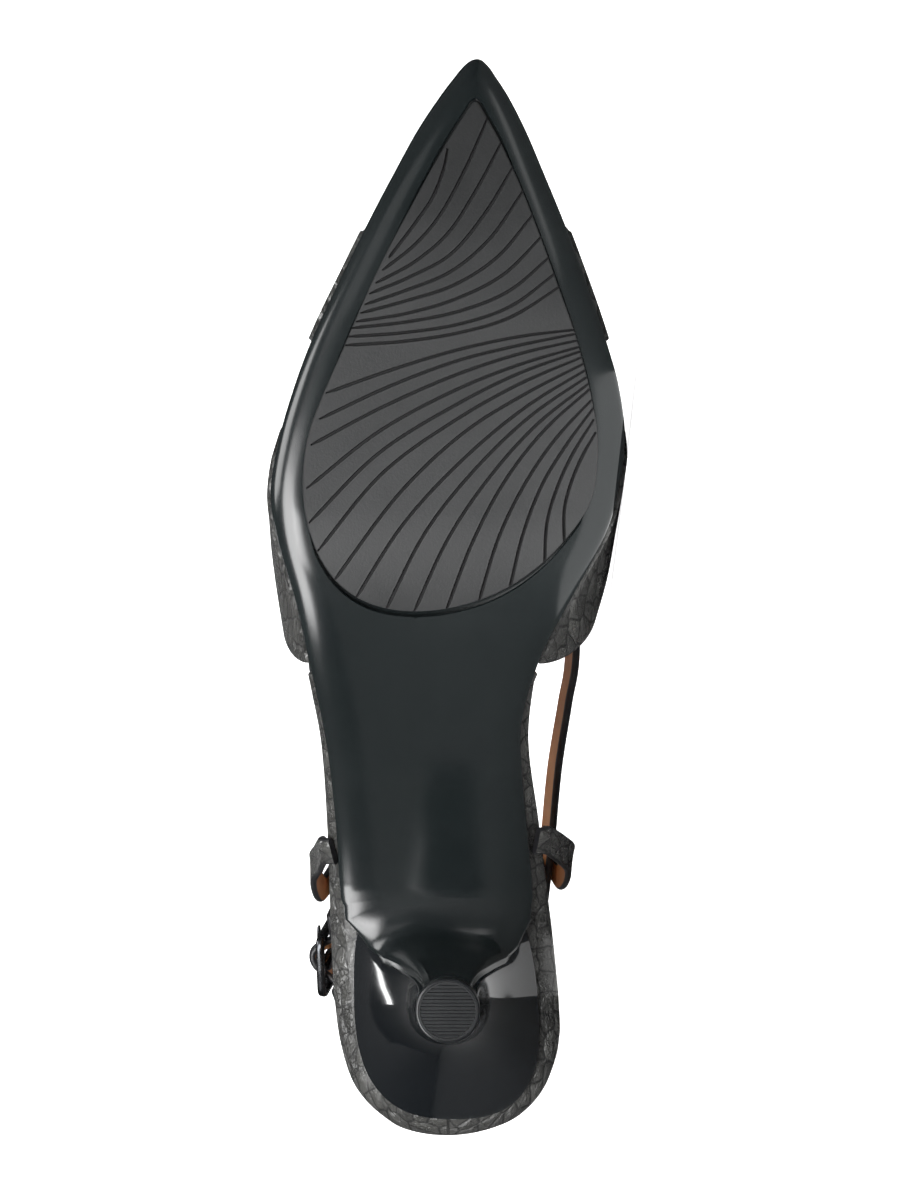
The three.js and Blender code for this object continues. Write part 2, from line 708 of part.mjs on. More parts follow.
function footbedGeometry() {
  const loop = footbedLoop();
  const spineY = (y) => THREE.MathUtils.clamp(y, 14, shoeLength - 16);
  const middleX = (y) => {
    const sides = soleSides(Math.max(y, breastTop * shoeLength));
    const waistMiddle = (sides.lateral + sides.medial) / 2;
    return mix(1, waistMiddle, ease(y / (breastTop * shoeLength)));
  };
  const ring = (inset, lift) =>
    loop.map((p) => {
      const d = inset(p.y);
      const [x, y] = [p.x - p.out.x * d, p.y - p.out.y * d];
      return v3(x, y, featherHeight(y) + clearance + lift(p.y));
    });
  const spine = (lift) =>
    loop.map((p) => {
      const y = spineY(p.y);
      return v3(middleX(y), y, featherHeight(y) + clearance + lift(y));
    });
  const rows = [
    spine(() => 0),
    ...sideProfile.map((step) => ring((y) => step.inset * overhang(y), (y) => step.lift * footbedFull(y))),
    ring((y) => mix(0.3, 0.95, openShare(y)), footbedFull),
    ring((y) => mix(0.6, footbedRim, openShare(y)), (y) => footbedFull(y) - 0.25 * cupDepth * openShare(y)),
    ring(
      (y) => mix(1.2, 3 * footbedRim, openShare(y)),
      (y) => footbedFull(y) - 0.8 * cupDepth * openShare(y),
    ),
    spine((y) => footbedFull(y) - cupDepth * openShare(y)),
  ];
  return solid(between(rows, true));
}

// Straps

// A flat strap along a list of centre points: wide gives the direction of its width at each point,
// and thin the thickness there as a share
function ribbon(centres, wide, width, thickness, thin = () => 1) {
  const rings = centres.map((p, i) => {
    const before = centres[Math.max(0, i - 1)];
    const after = centres[Math.min(centres.length - 1, i + 1)];
    const along = after.clone().sub(before).normalize();
    const w = wide[i].clone().addScaledVector(along, -wide[i].dot(along)).normalize();
    const out = along.clone().cross(w).normalize();
    const [h, t] = [width / 2, (thickness * thin(i)) / 2];
    const soft = 0.7 * t;
    const corners = [
      [h - soft, t],
      [h, t - soft],
      [h, soft - t],
      [h - soft, -t],
      [soft - h, -t],
      [-h, soft - t],
      [-h, t - soft],
      [soft - h, t],
    ];
    return corners.map(([a, b]) => p.clone().addScaledVector(w, a).addScaledVector(out, b));
  });
  return loft(rings);
}

const routePoint = (row) => {
  const y = row.at * shoeLength;
  return v3(row.across * ballHalfWidth, y, featherHeight(y) + row.up * slingHeight);
};

// Where a strap is tucked inside the upper, just under the corner of its opening
function tuckPoints(lateral) {
  const across = 0.5 + (lateral ? 1 : -1) * (cornerShare / 2 + 0.012);
  const depth = upperWall + clearance + strapThickness / 2 + 1.4;
  const corner = (lateral ? vampCorner.lateral : vampCorner.medial) * shoeLength;
  return [strapTuck, strapTuck * 0.45, -1.5].map((forward) => upperOffset(corner + forward, across, -depth));
}

// The strap's width points up and leans towards the leg
function strapWidths(centres) {
  return centres.map((p, i) => {
    const before = centres[Math.max(0, i - 1)];
    const after = centres[Math.min(centres.length - 1, i + 1)];
    const along = after.clone().sub(before).normalize();
    const inward = v3(-p.x, 45 - p.y, 0);
    inward.addScaledVector(along, -inward.dot(along));
    inward.z = 0;
    inward.normalize();
    return v3(0, 0, 1).addScaledVector(inward, Math.tan(strapLean));
  });
}

// The buckle's frame of reference: along runs forward down the strap, out leaves the shoe
const bucklePlace = routePoint({ at: 0.157, across: 0.762, up: 0.89 });
const buckleAlong = v3(0.03, 1, -0.42).normalize();
const buckleUp = v3(-Math.tan(strapLean), 0, 1).addScaledVector(buckleAlong, 0.42).normalize();
const buckleOut = buckleAlong.clone().cross(buckleUp).normalize();
const atBuckle = (along, out) =>
  bucklePlace.clone().addScaledVector(buckleAlong, along).addScaledVector(buckleOut, out);
const halfFrame = (buckleLength - buckleBar) / 2;
const underFrame = -buckleThickness / 2 - 1.5 * clearance - strapThickness / 2;
const barOut = -0.6;
const foldOut = barOut + centreBar / 2 + clearance + foldThickness / 2;
const humpOut = foldOut + foldThickness / 2 + clearance + strapThickness / 2 + 0.18;

// The long strap: from the medial side round the heel, under the frame and over its centre bar
function slingPoints() {
  const points = [
    ...tuckPoints(false),
    ...medialRoute.map(routePoint),
    ...lateralRoute.map(routePoint),
    atBuckle(-halfFrame - 2, underFrame - 0.3),
    atBuckle(-halfFrame + buckleBar * 0.6, underFrame - 0.15),
    atBuckle(-1.7, humpOut - 0.05),
    atBuckle(1.5, humpOut - 0.05),
    atBuckle(halfFrame - buckleBar * 0.6, underFrame - 0.15),
    atBuckle(halfFrame + 2, underFrame),
    atBuckle(halfFrame + tailLength, underFrame + 0.5),
  ];
  return new THREE.CatmullRomCurve3(points, false, "centripetal").getSpacedPoints(80);
}

// The short strap: from the lateral side of the upper, under the frame and the long strap's end to
// the centre bar, round which its thinner end is folded
function frontPoints() {
  const inside = barOut - centreBar / 2 - clearance - strapThickness / 2;
  const lower = underFrame - strapThickness - clearance;
  const main = [
    ...tuckPoints(true),
    ...frontRoute.map(routePoint),
    atBuckle(halfFrame + tailLength + 3, lower + 1),
    atBuckle(halfFrame + tailLength, lower + 0.3),
    atBuckle(halfFrame, lower - 0.1),
    atBuckle(halfFrame * 0.5, lower + 0.2),
    atBuckle(1, inside - 0.1),
  ];
  const turn = centreBarWidth / 2 + clearance + foldThickness / 2;
  const fold = [
    atBuckle(-turn * 0.8, inside + 0.7),
    atBuckle(-turn, barOut),
    atBuckle(-turn * 0.6, foldOut - 0.15),
    atBuckle(0.3, foldOut),
  ];
  return new THREE.CatmullRomCurve3([...main, ...fold], false, "centripetal").getSpacedPoints(72);
}

function slingGeometry(points) {
  const body = ribbon(points, strapWidths(points), strapWidth, strapThickness);
  return fromManifold(toManifold(body).subtract(toManifold(prongGeometry(clearance))));
}

function frontStrapGeometry(points) {
  const last = points.length - 1;
  const foldShare = foldThickness / strapThickness;
  const thin = (i) => mix(1, foldShare, ease((i - last + foldRows) / 3));
  const widths = points.map(() => buckleUp);
  strapWidths(points.slice(0, last - foldRows - 4)).forEach((w, i) => (widths[i] = w));
  return ribbon(points, widths, strapWidth, strapThickness, thin);
}

// The point of a strap nearest to a length along the shoe, on the given side, with its direction
function strapAt(points, y, lateral) {
  let best = 1;
  for (let i = 1; i + 1 < points.length; i++) {
    if (points[i].x > 0 !== lateral) continue;
    if (Math.abs(points[i].y - y) < Math.abs(points[best].y - y)) best = i;
  }
  const along = points[best + 1].clone().sub(points[best - 1]).normalize();
  if (along.y < 0) along.negate();
  const t = (y - points[best].y) / along.y;
  return { place: points[best].clone().addScaledVector(along, t), along };
}

// A side tab: it rises from the edge of the footbed, bows round the foot and turns over the strap
function tabGeometry(points, lateral) {
  const sign = lateral ? 1 : -1;
  const name = lateral ? "lateral" : "medial";
  const { place, along } = strapAt(points, tabHead[name] * shoeLength, lateral);
  const inward = v3(-sign, 0, 0);
  const up = v3(0, 0, 1).addScaledVector(inward, Math.tan(strapLean));
  up.addScaledVector(along, -up.dot(along)).normalize();
  const out = v3(sign, 0, 0).addScaledVector(along, -sign * along.x);
  out.addScaledVector(up, -out.dot(up)).normalize();
  const reach = (strapThickness + tabThickness) / 2 + clearance;
  const top = (strapWidth + tabThickness) / 2 + clearance;
  const spot = (a, b) => place.clone().addScaledVector(out, a).addScaledVector(up, b);
  const footY = tabFoot[name] * shoeLength;
  const edge = (y) => ballHalfWidth * column(footbedOutline, name, y / shoeLength, toHeel);
  const away = clearance + tabThickness / 2 + 0.3;
  const foot = featherHeight(footY) + clearance;
  const side = (x, height, y) => v3(sign * (edge(footY) + x), y, foot + height);
  const spots = sideProfile.map((step) => [-step.inset * overhang(footY), step.lift * footbedFull(footY)]);
  const lower = [0.4, 1, 2, 3].map((k) => {
    const i = Math.min(2, Math.floor(k));
    const [[x0, z0], [x1, z1]] = [spots[i], spots[i + 1]];
    const run = Math.hypot(x1 - x0, z1 - z0);
    const x = mix(x0, x1, k - i) + ((z1 - z0) / run) * away;
    return side(x, mix(z0, z1, k - i) - ((x1 - x0) / run) * away, footY);
  });
  const bow = tabBow[name];
  lower.push(side(0.62 * bow, 13, footY - 2.5), side(bow, 21, footY - 5.5));
  const upper = [
    spot(reach + 0.5, -strapWidth * 0.6),
    spot(reach, 0),
    spot(reach, top - 1.2),
    spot(reach * 0.6, top),
  ];
  const hook = [spot(-reach * 0.6, top), spot(-reach, top - 1.2), spot(-reach, 0), spot(-reach, -tabTail)];
  const curve = new THREE.CatmullRomCurve3([...lower, ...upper, ...hook], false, "centripetal");
  const rows = 25;
  const centres = curve.getSpacedPoints(rows);
  const near = 3;
  const slope = (f) => (f(footY + near) - f(footY - near)) / (2 * near);
  const level = v3(sign * slope(edge), 1, slope(featherHeight)).normalize();
  const wide = centres.map((_, i) => level.clone().lerp(along, ease(i / (0.4 * rows))).normalize());
  return ribbon(centres, wide, tabWidth, tabThickness);
}

// Buckle

// A rounded rectangle as a closed list of points
function roundedLoop(length, width, radius, arcSteps) {
  const loop = [];
  const [a, b] = [length / 2 - radius, width / 2 - radius];
  [
    [a, b],
    [-a, b],
    [-a, -b],
    [a, -b],
  ].forEach(([cx, cy], corner) => {
    for (let i = 0; i <= arcSteps; i++) {
      const angle = (corner + i / arcSteps) * (Math.PI / 2);
      loop.push(new THREE.Vector2(cx + radius * Math.cos(angle), cy + radius * Math.sin(angle)));
    }
  });
  return loop;
}

// The frame round the straps, with a bar across its middle
function buckleGeometry() {
  const loop = roundedLoop(buckleLength - buckleBar, buckleWidth - buckleBar, 2.2, 4);
  const count = loop.length;
  const section = (middle, way, width, thickness, out) => {
    const ring = [];
    for (let k = 0; k < 8; k++) {
      const a = ((k + 0.5) / 8) * 2 * Math.PI;
      const side = (width / 2) * Math.cos(a);
      const place = atBuckle(middle.x + way.y * side, out + (thickness / 2) * Math.sin(a));
      ring.push(place.addScaledVector(buckleUp, middle.y - way.x * side));
    }
    return ring;
  };
  const rings = loop.map((p, i) => {
    const way = loop[(i + 1) % count].clone().sub(loop[(i + count - 1) % count]).normalize();
    return section(p, way, buckleBar, buckleThickness, 0);
  });
  const frame = solid(between([...rings, rings[0]], true));
  const reach = (buckleWidth - buckleBar) / 2;
  const across = [-reach, 0, reach].map((y) => {
    return section(new THREE.Vector2(0, y), new THREE.Vector2(0, 1), centreBarWidth, centreBar, barOut);
  });
  return fromManifold(toManifold(frame).add(toManifold(loft(across))));
}

// The prong, from above the centre bar through the long strap to the front of the frame; grown is
// how much wider it is made to cut its hole
function prongGeometry(grown) {
  const lift = buckleThickness / 2 + clearance + prongThickness / 2;
  const from = atBuckle(0.4 - 2 * grown, foldOut + foldThickness / 2 + clearance + prongThickness / 2 + 0.5);
  const to = atBuckle(halfFrame + 1.2 + 2 * grown, lift + 0.1);
  const centres = [0, 0.5, 1].map((t) => from.clone().lerp(to, t));
  return ribbon(centres, centres.map(() => buckleUp), prongWidth + 2 * grown, prongThickness + 2 * grown);
}

// Materials
const finish = (color, roughness, metalness) =>
  new THREE.MeshStandardMaterial({ color, roughness, metalness });
const materials = {
  crocLeather: finish(0x17181a, 0.32, 0),
  soleRubber: finish(0x1b1e1f, 0.3, 0),
  treadRubber: finish(0x333536, 0.7, 0),
  heelPlastic: finish(0x0f1112, 0.12, 0),
  liftRubber: finish(0x14161a, 0.6, 0),
  gunmetal: finish(0x3a3b3d, 0.25, 1),
};
const densities = new Map([
  [materials.crocLeather, leatherDensity],
  [materials.soleRubber, rubberDensity],
  [materials.treadRubber, rubberDensity],
  [materials.heelPlastic, plasticDensity],
  [materials.liftRubber, rubberDensity],
  [materials.gunmetal, metalDensity],
]);

// The pieces in the standing shoe
const shoe = new THREE.Group();
function add(name, geometry, material) {
  const mesh = new THREE.Mesh(geometry, material);
  mesh.name = name;
  shoe.add(mesh);
  return mesh;
}

add("outsole", outsoleGeometry(), materials.soleRubber);
add("tread", treadGeometry(0), materials.treadRubber);
add("heel", heelGeometry(), materials.heelPlastic);
const lift = add("top_lift", topLiftGeometry(), materials.liftRubber);
lift.position.set(tipOffset, tipAt * shoeLength, 0);
add("upper", upperGeometry(), materials.crocLeather);
add("footbed", footbedGeometry(), materials.crocLeather);

const sling = slingPoints();
const front = frontPoints();
add("sling_strap", slingGeometry(sling), materials.crocLeather);
add("front_strap", frontStrapGeometry(front), materials.crocLeather);
add("buckle", buckleGeometry(), materials.gunmetal);
add("buckle_prong", prongGeometry(0), materials.gunmetal);
add("medial_tab", tabGeometry(sling, false), materials.crocLeather);
add("lateral_tab", tabGeometry(front, true), materials.crocLeather);

// Laying the shoe on its side: the hull's face that its centre of mass stands over, on that side
function massCentre(meshes) {
  const centre = v3(0, 0, 0);
  let total = 0;
  for (const mesh of meshes) {
    const flat = mesh.geometry.index ? mesh.geometry.toNonIndexed() : mesh.geometry;
    const points = flat.getAttribute("position");
    const corner = (i) => v3().fromBufferAttribute(points, i).applyMatrix4(mesh.matrixWorld);
    for (let i = 0; i < points.count; i += 3) {
      const [a, b, c] = [corner(i), corner(i + 1), corner(i + 2)];
      const mass = (a.dot(b.clone().cross(c)) / 6) * densities.get(mesh.material);
      total += mass;
      centre.addScaledVector(a.add(b).add(c), mass / 4);
    }
  }
  return { centre: centre.divideScalar(total), total };
}

function restingFace(meshes) {
  const points = [];
  for (const mesh of meshes) {
    const position = mesh.geometry.getAttribute("position");
    for (let i = 0; i < position.count; i++) {
      points.push(v3().fromBufferAttribute(position, i).applyMatrix4(mesh.matrixWorld));
    }
  }
  const { centre, total } = massCentre(meshes);
  const hull = new ConvexHull().setFromPoints(points);
  let best = null;
  for (const face of hull.faces) {
    const corners = [face.edge, face.edge.next, face.edge.prev].map((e) => e.head().point);
    const normal = face.normal;
    if (normal.x * sideDown < 0.7) continue;
    const drop = normal.dot(corners[0].clone().sub(centre));
    const spot = centre.clone().addScaledVector(normal, drop);
    const triangle = new THREE.Triangle(...corners);
    if (!triangle.containsPoint(spot)) continue;
    if (best && normal.x * sideDown <= best.normal.x * sideDown) continue;
    best = { normal: normal.clone(), corners, spot };
  }
  return { ...best, centre, total };
}

shoe.updateMatrixWorld(true);
const rest = restingFace(shoe.children);
const up = rest.normal.clone().negate();
const forward = v3(0, 1, 0).addScaledVector(up, -up.y).normalize();
const across = up.clone().cross(forward);
shoe.quaternion.setFromRotationMatrix(new THREE.Matrix4().makeBasis(forward, across, up).transpose());
shoe.updateMatrixWorld(true);
const bounds = new THREE.Box3().setFromObject(shoe, true);
const middle = bounds.getCenter(v3());
shoe.position.set(-middle.x, -middle.y, -bounds.min.z);

const part = new THREE.Group();
part.add(shoe);
part.updateMatrixWorld(true);
export default part;
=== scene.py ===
"""A right-foot slingback pump with a pointed toe, lying on its medial side.

The shoe is shaped standing, in millimetres: x runs to the lateral side, y from the back of the
heel to the toe and z up from the ground. to_row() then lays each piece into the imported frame.
"""

import json
import math

import bmesh
import bpy
import numpy as np
from mathutils import Matrix, Vector


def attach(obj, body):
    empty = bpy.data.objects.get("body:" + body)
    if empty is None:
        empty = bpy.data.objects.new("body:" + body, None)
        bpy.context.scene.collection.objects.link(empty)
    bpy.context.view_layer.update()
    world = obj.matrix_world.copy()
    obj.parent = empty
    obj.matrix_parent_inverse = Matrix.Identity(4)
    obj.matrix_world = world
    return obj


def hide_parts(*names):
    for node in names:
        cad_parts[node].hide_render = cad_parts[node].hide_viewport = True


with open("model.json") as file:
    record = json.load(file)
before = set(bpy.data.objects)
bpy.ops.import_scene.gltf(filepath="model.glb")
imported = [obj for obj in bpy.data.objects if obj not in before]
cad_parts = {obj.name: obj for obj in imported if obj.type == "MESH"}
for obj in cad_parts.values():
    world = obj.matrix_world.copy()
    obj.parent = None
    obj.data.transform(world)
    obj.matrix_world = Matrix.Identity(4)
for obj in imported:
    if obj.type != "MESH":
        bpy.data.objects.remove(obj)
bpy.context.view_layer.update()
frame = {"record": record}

# Driving sizes, as in the part's source
SHOE_LENGTH = 258.0
BALL_HALF_WIDTH = 41.0
HEEL_HEIGHT = 50.0
TOE_SPRING = 8.0
INSTEP_HEIGHT = 63.0
CLEARANCE = 0.3

# Outsole and tread
FOREPART_THICKNESS = 5.0
WAIST_THICKNESS = 3.4
FLAP_THICKNESS = 2.0
SOLE_EDGE = 1.4
LATERAL_BEVEL = 8.0
MEDIAL_BEVEL = 6.8
TREAD_PROUD = 0.6
TREAD_DEPTH = 1.4
GROOVE_DEPTH = 0.75
GROOVE_WIDTH = 0.8
GROOVE_PAST = 1.6
GROOVE_SHORT = 0.3
FIRST_REAR_GROOVE = 16

# Places along the foot, as shares of the length
SPRING_START = 0.756
BALL_BACK = 0.59
SEAT_FRONT = 0.147
BREAST_TOP = 0.244
WAIST_BACK = 0.205
VAMP_BACK = 0.455
VAMP_CORNER = {"lateral": 0.495, "medial": 0.512}
THROAT = 0.668

# The forefoot's flat face on the ground, from the back of the heel
FOREFOOT_FACE_AT = 172.0

# Heel
SEAT_LIFT = 3.0
TIP_RADIUS = 7.5
LIFT_THICKNESS = 6.0
TIP_AT = 0.1407
TIP_OFFSET = 0.5
BREAST_RADIUS = 10.0
BREAST_FOOT = 0.156
SEAT_HALF_WIDTH = 23.0
SEAT_SKEW = 0.06
SEAT_OVERHANG = 3.8
SEAT_SHIFT = 0.8
SEAT_MIDDLE = 0.118
SEAT_REACH = 0.27
SEAT_ROUNDING = 0.78
HEEL_NARROWING = 2.1
HEEL_FRONT_SWEEP = 0.8
HEEL_BACK_SWEEP = 3
HEEL_FOOT_PAST = 0.1
FLAP_BOW = 2.4

# Footbed
FOOTBED_HEIGHT = 5.8
FOOTBED_RIM = 2.4
CUP_DEPTH = 1.8
INSOLE_THICKNESS = 3.2
WAIST_OVERHANG = 2.6
HEEL_OVERHANG = 4.6

# Upper
UPPER_WALL = 2.2
BAND_THICKNESS = 1.3
STEP_RUN = 0.35
CAP_SHARE = 0.35
WIDEST_SHARE = 0.34
SIDE_SHARE = 0.18
CORNER_SHARE = 0.42
HEM = 3.0

# Straps, tabs and buckle
STRAP_WIDTH = 8.0
STRAP_THICKNESS = 1.9
STRAP_LEAN = 0.24
SLING_HEIGHT = 47.0
STRAP_TUCK = 9.0
TAB_WIDTH = 6.8
TAB_THICKNESS = 1.6
TAB_TAIL = 5.0
TAB_FOOT = {"lateral": 0.274, "medial": 0.284}
TAB_HEAD = {"lateral": 0.236, "medial": 0.25}
TAB_BOW = {"lateral": 4.0, "medial": 7.2}
BUCKLE_LENGTH = 17.8
BUCKLE_WIDTH = 14.8
BUCKLE_BAR = 2.4
BUCKLE_THICKNESS = 2.2
CENTRE_BAR = 1.0
CENTRE_BAR_WIDTH = 1.6
PRONG_WIDTH = 1.7
PRONG_THICKNESS = 0.9
FOLD_THICKNESS = 0.8
TAIL_LENGTH = 6.0


def table(names, *rows):
    """Named columns from rows of numbers."""
    return dict(zip(names.split(), np.array(rows, float).T))


# The outsole's edge seen from above, as shares of BALL_HALF_WIDTH over shares of the length
SOLE_OUTLINE = table(
    "at lateral medial",
    (0.205, 0.6, 0.505),
    (0.24, 0.65, 0.49),
    (0.291, 0.666, 0.459),
    (0.36, 0.702, 0.417),
    (0.399, 0.737, 0.415),
    (0.459, 0.812, 0.517),
    (0.512, 0.883, 0.688),
    (0.5675, 0.985, 0.876),
    (0.606, 1.018, 0.952),
    (0.654, 0.971, 0.993),
    (0.7, 0.888, 0.96),
    (0.744, 0.785, 0.885),
    (0.8167, 0.568, 0.727),
    (0.89, 0.335, 0.546),
    (0.936, 0.178, 0.425),
    (0.964, 0.063, 0.337),
    (0.986, -0.04, 0.25),
    (1, -0.155, 0.155),
)

# The widest line of the upper over the bands, and its height as a share of INSTEP_HEIGHT
GIRTH = table(
    "at lateral medial height",
    (0.4, 0.92, 0.72, 0.98),
    (0.457, 0.955, 0.79, 0.99),
    (0.491, 0.985, 0.85, 0.985),
    (0.53, 1.018, 0.915, 0.955),
    (0.5675, 1.04, 0.955, 0.905),
    (0.62, 1.038, 1.004, 0.8),
    (0.654, 1.0, 1.017, 0.725),
    (0.7, 0.915, 0.985, 0.63),
    (0.744, 0.806, 0.906, 0.55),
    (0.8167, 0.584, 0.75, 0.43),
    (0.89, 0.342, 0.562, 0.325),
    (0.936, 0.178, 0.433, 0.255),
    (0.964, 0.063, 0.342, 0.198),
    (0.986, -0.04, 0.253, 0.125),
    (1, -0.155, 0.155, 0),
)

# The footbed's outer edge behind the upper
FOOTBED_OUTLINE = table(
    "at lateral medial",
    (-0.002, 0.02, -0.02),
    (0.0055, 0.29, 0.262),
    (0.0147, 0.385, 0.39),
    (0.0337, 0.515, 0.52),
    (0.053, 0.593, 0.593),
    (0.091, 0.663, 0.659),
    (0.129, 0.695, 0.656),
    (0.15, 0.705, 0.645),
    (0.205, 0.718, 0.607),
    (0.302, 0.73, 0.527),
    (0.38, 0.757, 0.461),
    (0.435, 0.815, 0.49),
    (0.446, 0.825, 0.52),
)

# The tread's edge
TREAD_OUTLINE = table(
    "at lateral medial",
    (0.4995, 0.195, -0.195),
    (0.5035, 0.4, 0.03),
    (0.513, 0.54, 0.225),
    (0.53, 0.665, 0.42),
    (0.559, 0.77, 0.625),
    (0.596, 0.827, 0.788),
    (0.633, 0.827, 0.832),
    (0.67, 0.778, 0.824),
    (0.738, 0.598, 0.729),
    (0.8, 0.427, 0.595),
    (0.87, 0.2, 0.432),
    (0.92, 0.027, 0.295),
    (0.948, -0.082, 0.2),
    (0.9597, -0.146, 0.146),
)

# The tread's grooves from the medial edge to the lateral or rear edge: five places along each, read
# off the photograph and rounded to half a millimetre
GROOVES = table(
    "x0 y0 x1 y1 x2 y2 x3 y3 x4 y4",
    (0.5, 236.5, 1.5, 231.5, 4, 225, 8, 219, 14, 211),
    (-8.5, 243, -3.5, 231.5, 2.5, 220.5, 8, 214, 15.5, 208),
    (-11.5, 237, -6, 226.5, 0.5, 216.5, 8, 210, 17, 205),
    (-14, 231, -8, 221, 0, 211.5, 9, 206.5, 18.5, 202.5),
    (-16, 225, -9, 215, 0, 207.5, 9.5, 203.5, 19.5, 200),
    (-18.5, 220, -11, 211, -1, 204.5, 9.5, 201, 20.5, 198),
    (-20.5, 215, -12.5, 207, -2, 201.5, 9.5, 198, 21.5, 196),
    (-22.5, 210.5, -13.5, 203, -2.5, 198.5, 9.5, 196, 22.5, 194.5),
    (-23.5, 206.5, -14, 199.5, -2.5, 195.5, 10, 193.5, 23.5, 192.5),
    (-24.5, 203.5, -14, 197, -2.5, 193.5, 10, 191.5, 24, 190.5),
    (-28, 194, -16, 192.5, -2, 189.5, 13, 185, 28.5, 179.5),
    (-28.5, 193, -16, 190.5, -2, 187, 14, 181, 30, 173.5),
    (-29, 191.5, -16, 188.5, -1, 183.5, 16, 176, 32, 167.5),
    (-29.5, 190, -16, 186, -1, 180, 16.5, 170.5, 33, 157.5),
    (-30, 189, -16, 184, -1, 176.5, 16.5, 165.5, 32.5, 149.5),
    (-30, 187.5, -16, 181.5, -1, 173, 15.5, 161, 30.5, 143),
    (-30.5, 186, -17, 179, -3.5, 170.5, 11, 157, 26.5, 136.5),
    (-31, 184.5, -18, 176.5, -4, 165, 10.5, 149.5, 21.5, 132.5),
    (-31.5, 183, -18.5, 174, -6, 162, 5.5, 147.5, 14.5, 130),
    (-32, 181.5, -20.5, 172.5, -10, 161, 0, 146.5, 8, 129.5),
    (-32, 180, -22, 171, -13, 159.5, -5.5, 145.5, 0.5, 130),
    (-32.5, 177.5, -25, 169.5, -18, 159.5, -11.5, 146.5, -7, 132),
    (-32.5, 175, -27, 167.5, -21.5, 158.5, -17, 147, -14, 134.5),
    (-32.5, 172, -28.5, 165.5, -25, 158, -22.5, 149.5, -22, 140),
    (-33, 169, -30.5, 164.5, -28, 158.5, -26.5, 152.5, -26.5, 146),
)

# How far the edges of the outsole's flap lie behind its middle, over the height
FLAP_SWEEP = table(
    "height back",
    (6, 0.3),
    (14, 1.3),
    (20, 2.4),
    (28, 4.2),
    (34, 5.3),
    (38, 6),
    (41, 6.4),
    (43.5, 6.8),
    (45.3, 5.2),
    (46.3, 2.4),
)

# Where the straps run behind the upper; up is a share of SLING_HEIGHT over the feather line
MEDIAL_ROUTE = table(
    "at across up",
    (0.452, -0.728, 0.8),
    (0.41, -0.69, 0.79),
    (0.35, -0.636, 0.765),
    (0.27, -0.595, 0.75),
    (0.19, -0.545, 0.85),
    (0.125, -0.5, 0.945),
    (0.072, -0.4, 0.985),
    (0.046, -0.2, 1),
    (0.04, 0.02, 1.005),
)
LATERAL_ROUTE = table("at across up", (0.045, 0.24, 1), (0.062, 0.45, 0.985), (0.085, 0.6, 0.96))
FRONT_ROUTE = table(
    "at across up",
    (0.452, 0.8, 0.8),
    (0.41, 0.755, 0.78),
    (0.35, 0.705, 0.755),
    (0.275, 0.69, 0.74),
)
BUCKLE_PLACE = table("at across up", (0.157, 0.762, 0.89))

# The upper in strips from its rear edge to the toe: the front edge at the sides and over the
# instep, how far the strip stands out as a share of BAND_THICKNESS, and its rows of faces
STRIPS = table(
    "side top thick rows",
    (0.641, 0.752, 1, 46),
    (0.742, 0.79, 0, 26),
    (0.842, 0.872, 1, 30),
    (0.868, 0.892, 0, 10),
    (1, 1, CAP_SHARE, 44),
)


# Small sums

def mix(a, b, t):
    return a + (b - a) * t


def ease(t):
    t = np.clip(t, 0, 1)
    return t * t * (3 - 2 * t)


def unit(v):
    return v / np.maximum(np.linalg.norm(v, axis=-1, keepdims=True), 1e-12)


def dot(a, b):
    return np.sum(a * b, axis=-1, keepdims=True)


def points(x, y, z):
    return np.stack(np.broadcast_arrays(x, y, z), axis=-1).astype(float)


def soft_min(a, b, blend):
    """The smaller of two values, with a round corner of about that size where they cross."""
    h = np.clip(0.5 + (b - a) / (2 * blend), 0, 1)
    return mix(b, a, h) - blend * h * (1 - h)


# From the standing shoe into the row frame, by the two flat faces that the record states

def shoe_to_row():
    mounts = {m["name"]: m for m in frame["record"]["mounts"]}
    heel, ball = (np.array(mounts[n]["pos_m"]) * 1000 for n in ("top_lift_face", "forefoot_face"))
    heel_place = np.array([TIP_OFFSET, TIP_AT * SHOE_LENGTH, 0])
    ball_place = np.array([0, FOREFOOT_FACE_AT, 0])
    up = -np.array(mounts["top_lift_face"]["axis"])

    def axes(along, upward):
        along = unit(along)
        side = unit(np.cross(along, upward))
        return np.array([side, along, np.cross(side, along)]).T

    turn = axes(ball - heel, up) @ axes(ball_place - heel_place, np.array([0, 0, 1.0])).T
    return turn, heel - turn @ heel_place


TURN, SHIFT = shoe_to_row()


def to_row(p):
    """Shoe millimetres to row metres."""
    return (np.asarray(p, float) @ TURN.T + SHIFT) / 1000


# Tables and curves

def to_toe(at):
    return 1 - np.sqrt(np.maximum(0, 1 - np.asarray(at, float)))


def from_toe(s):
    return 1 - (1 - s) ** 2


def to_heel(at):
    return np.sqrt(np.maximum(0, np.asarray(at, float) - FOOTBED_OUTLINE["at"][0]))


TREAD_ENDS = TREAD_OUTLINE["at"][[0, -1]]


def to_both_ends(at):
    share = (np.asarray(at, float) - TREAD_ENDS[0]) / (TREAD_ENDS[1] - TREAD_ENDS[0])
    return -np.arccos(np.clip(2 * share - 1, -1, 1))


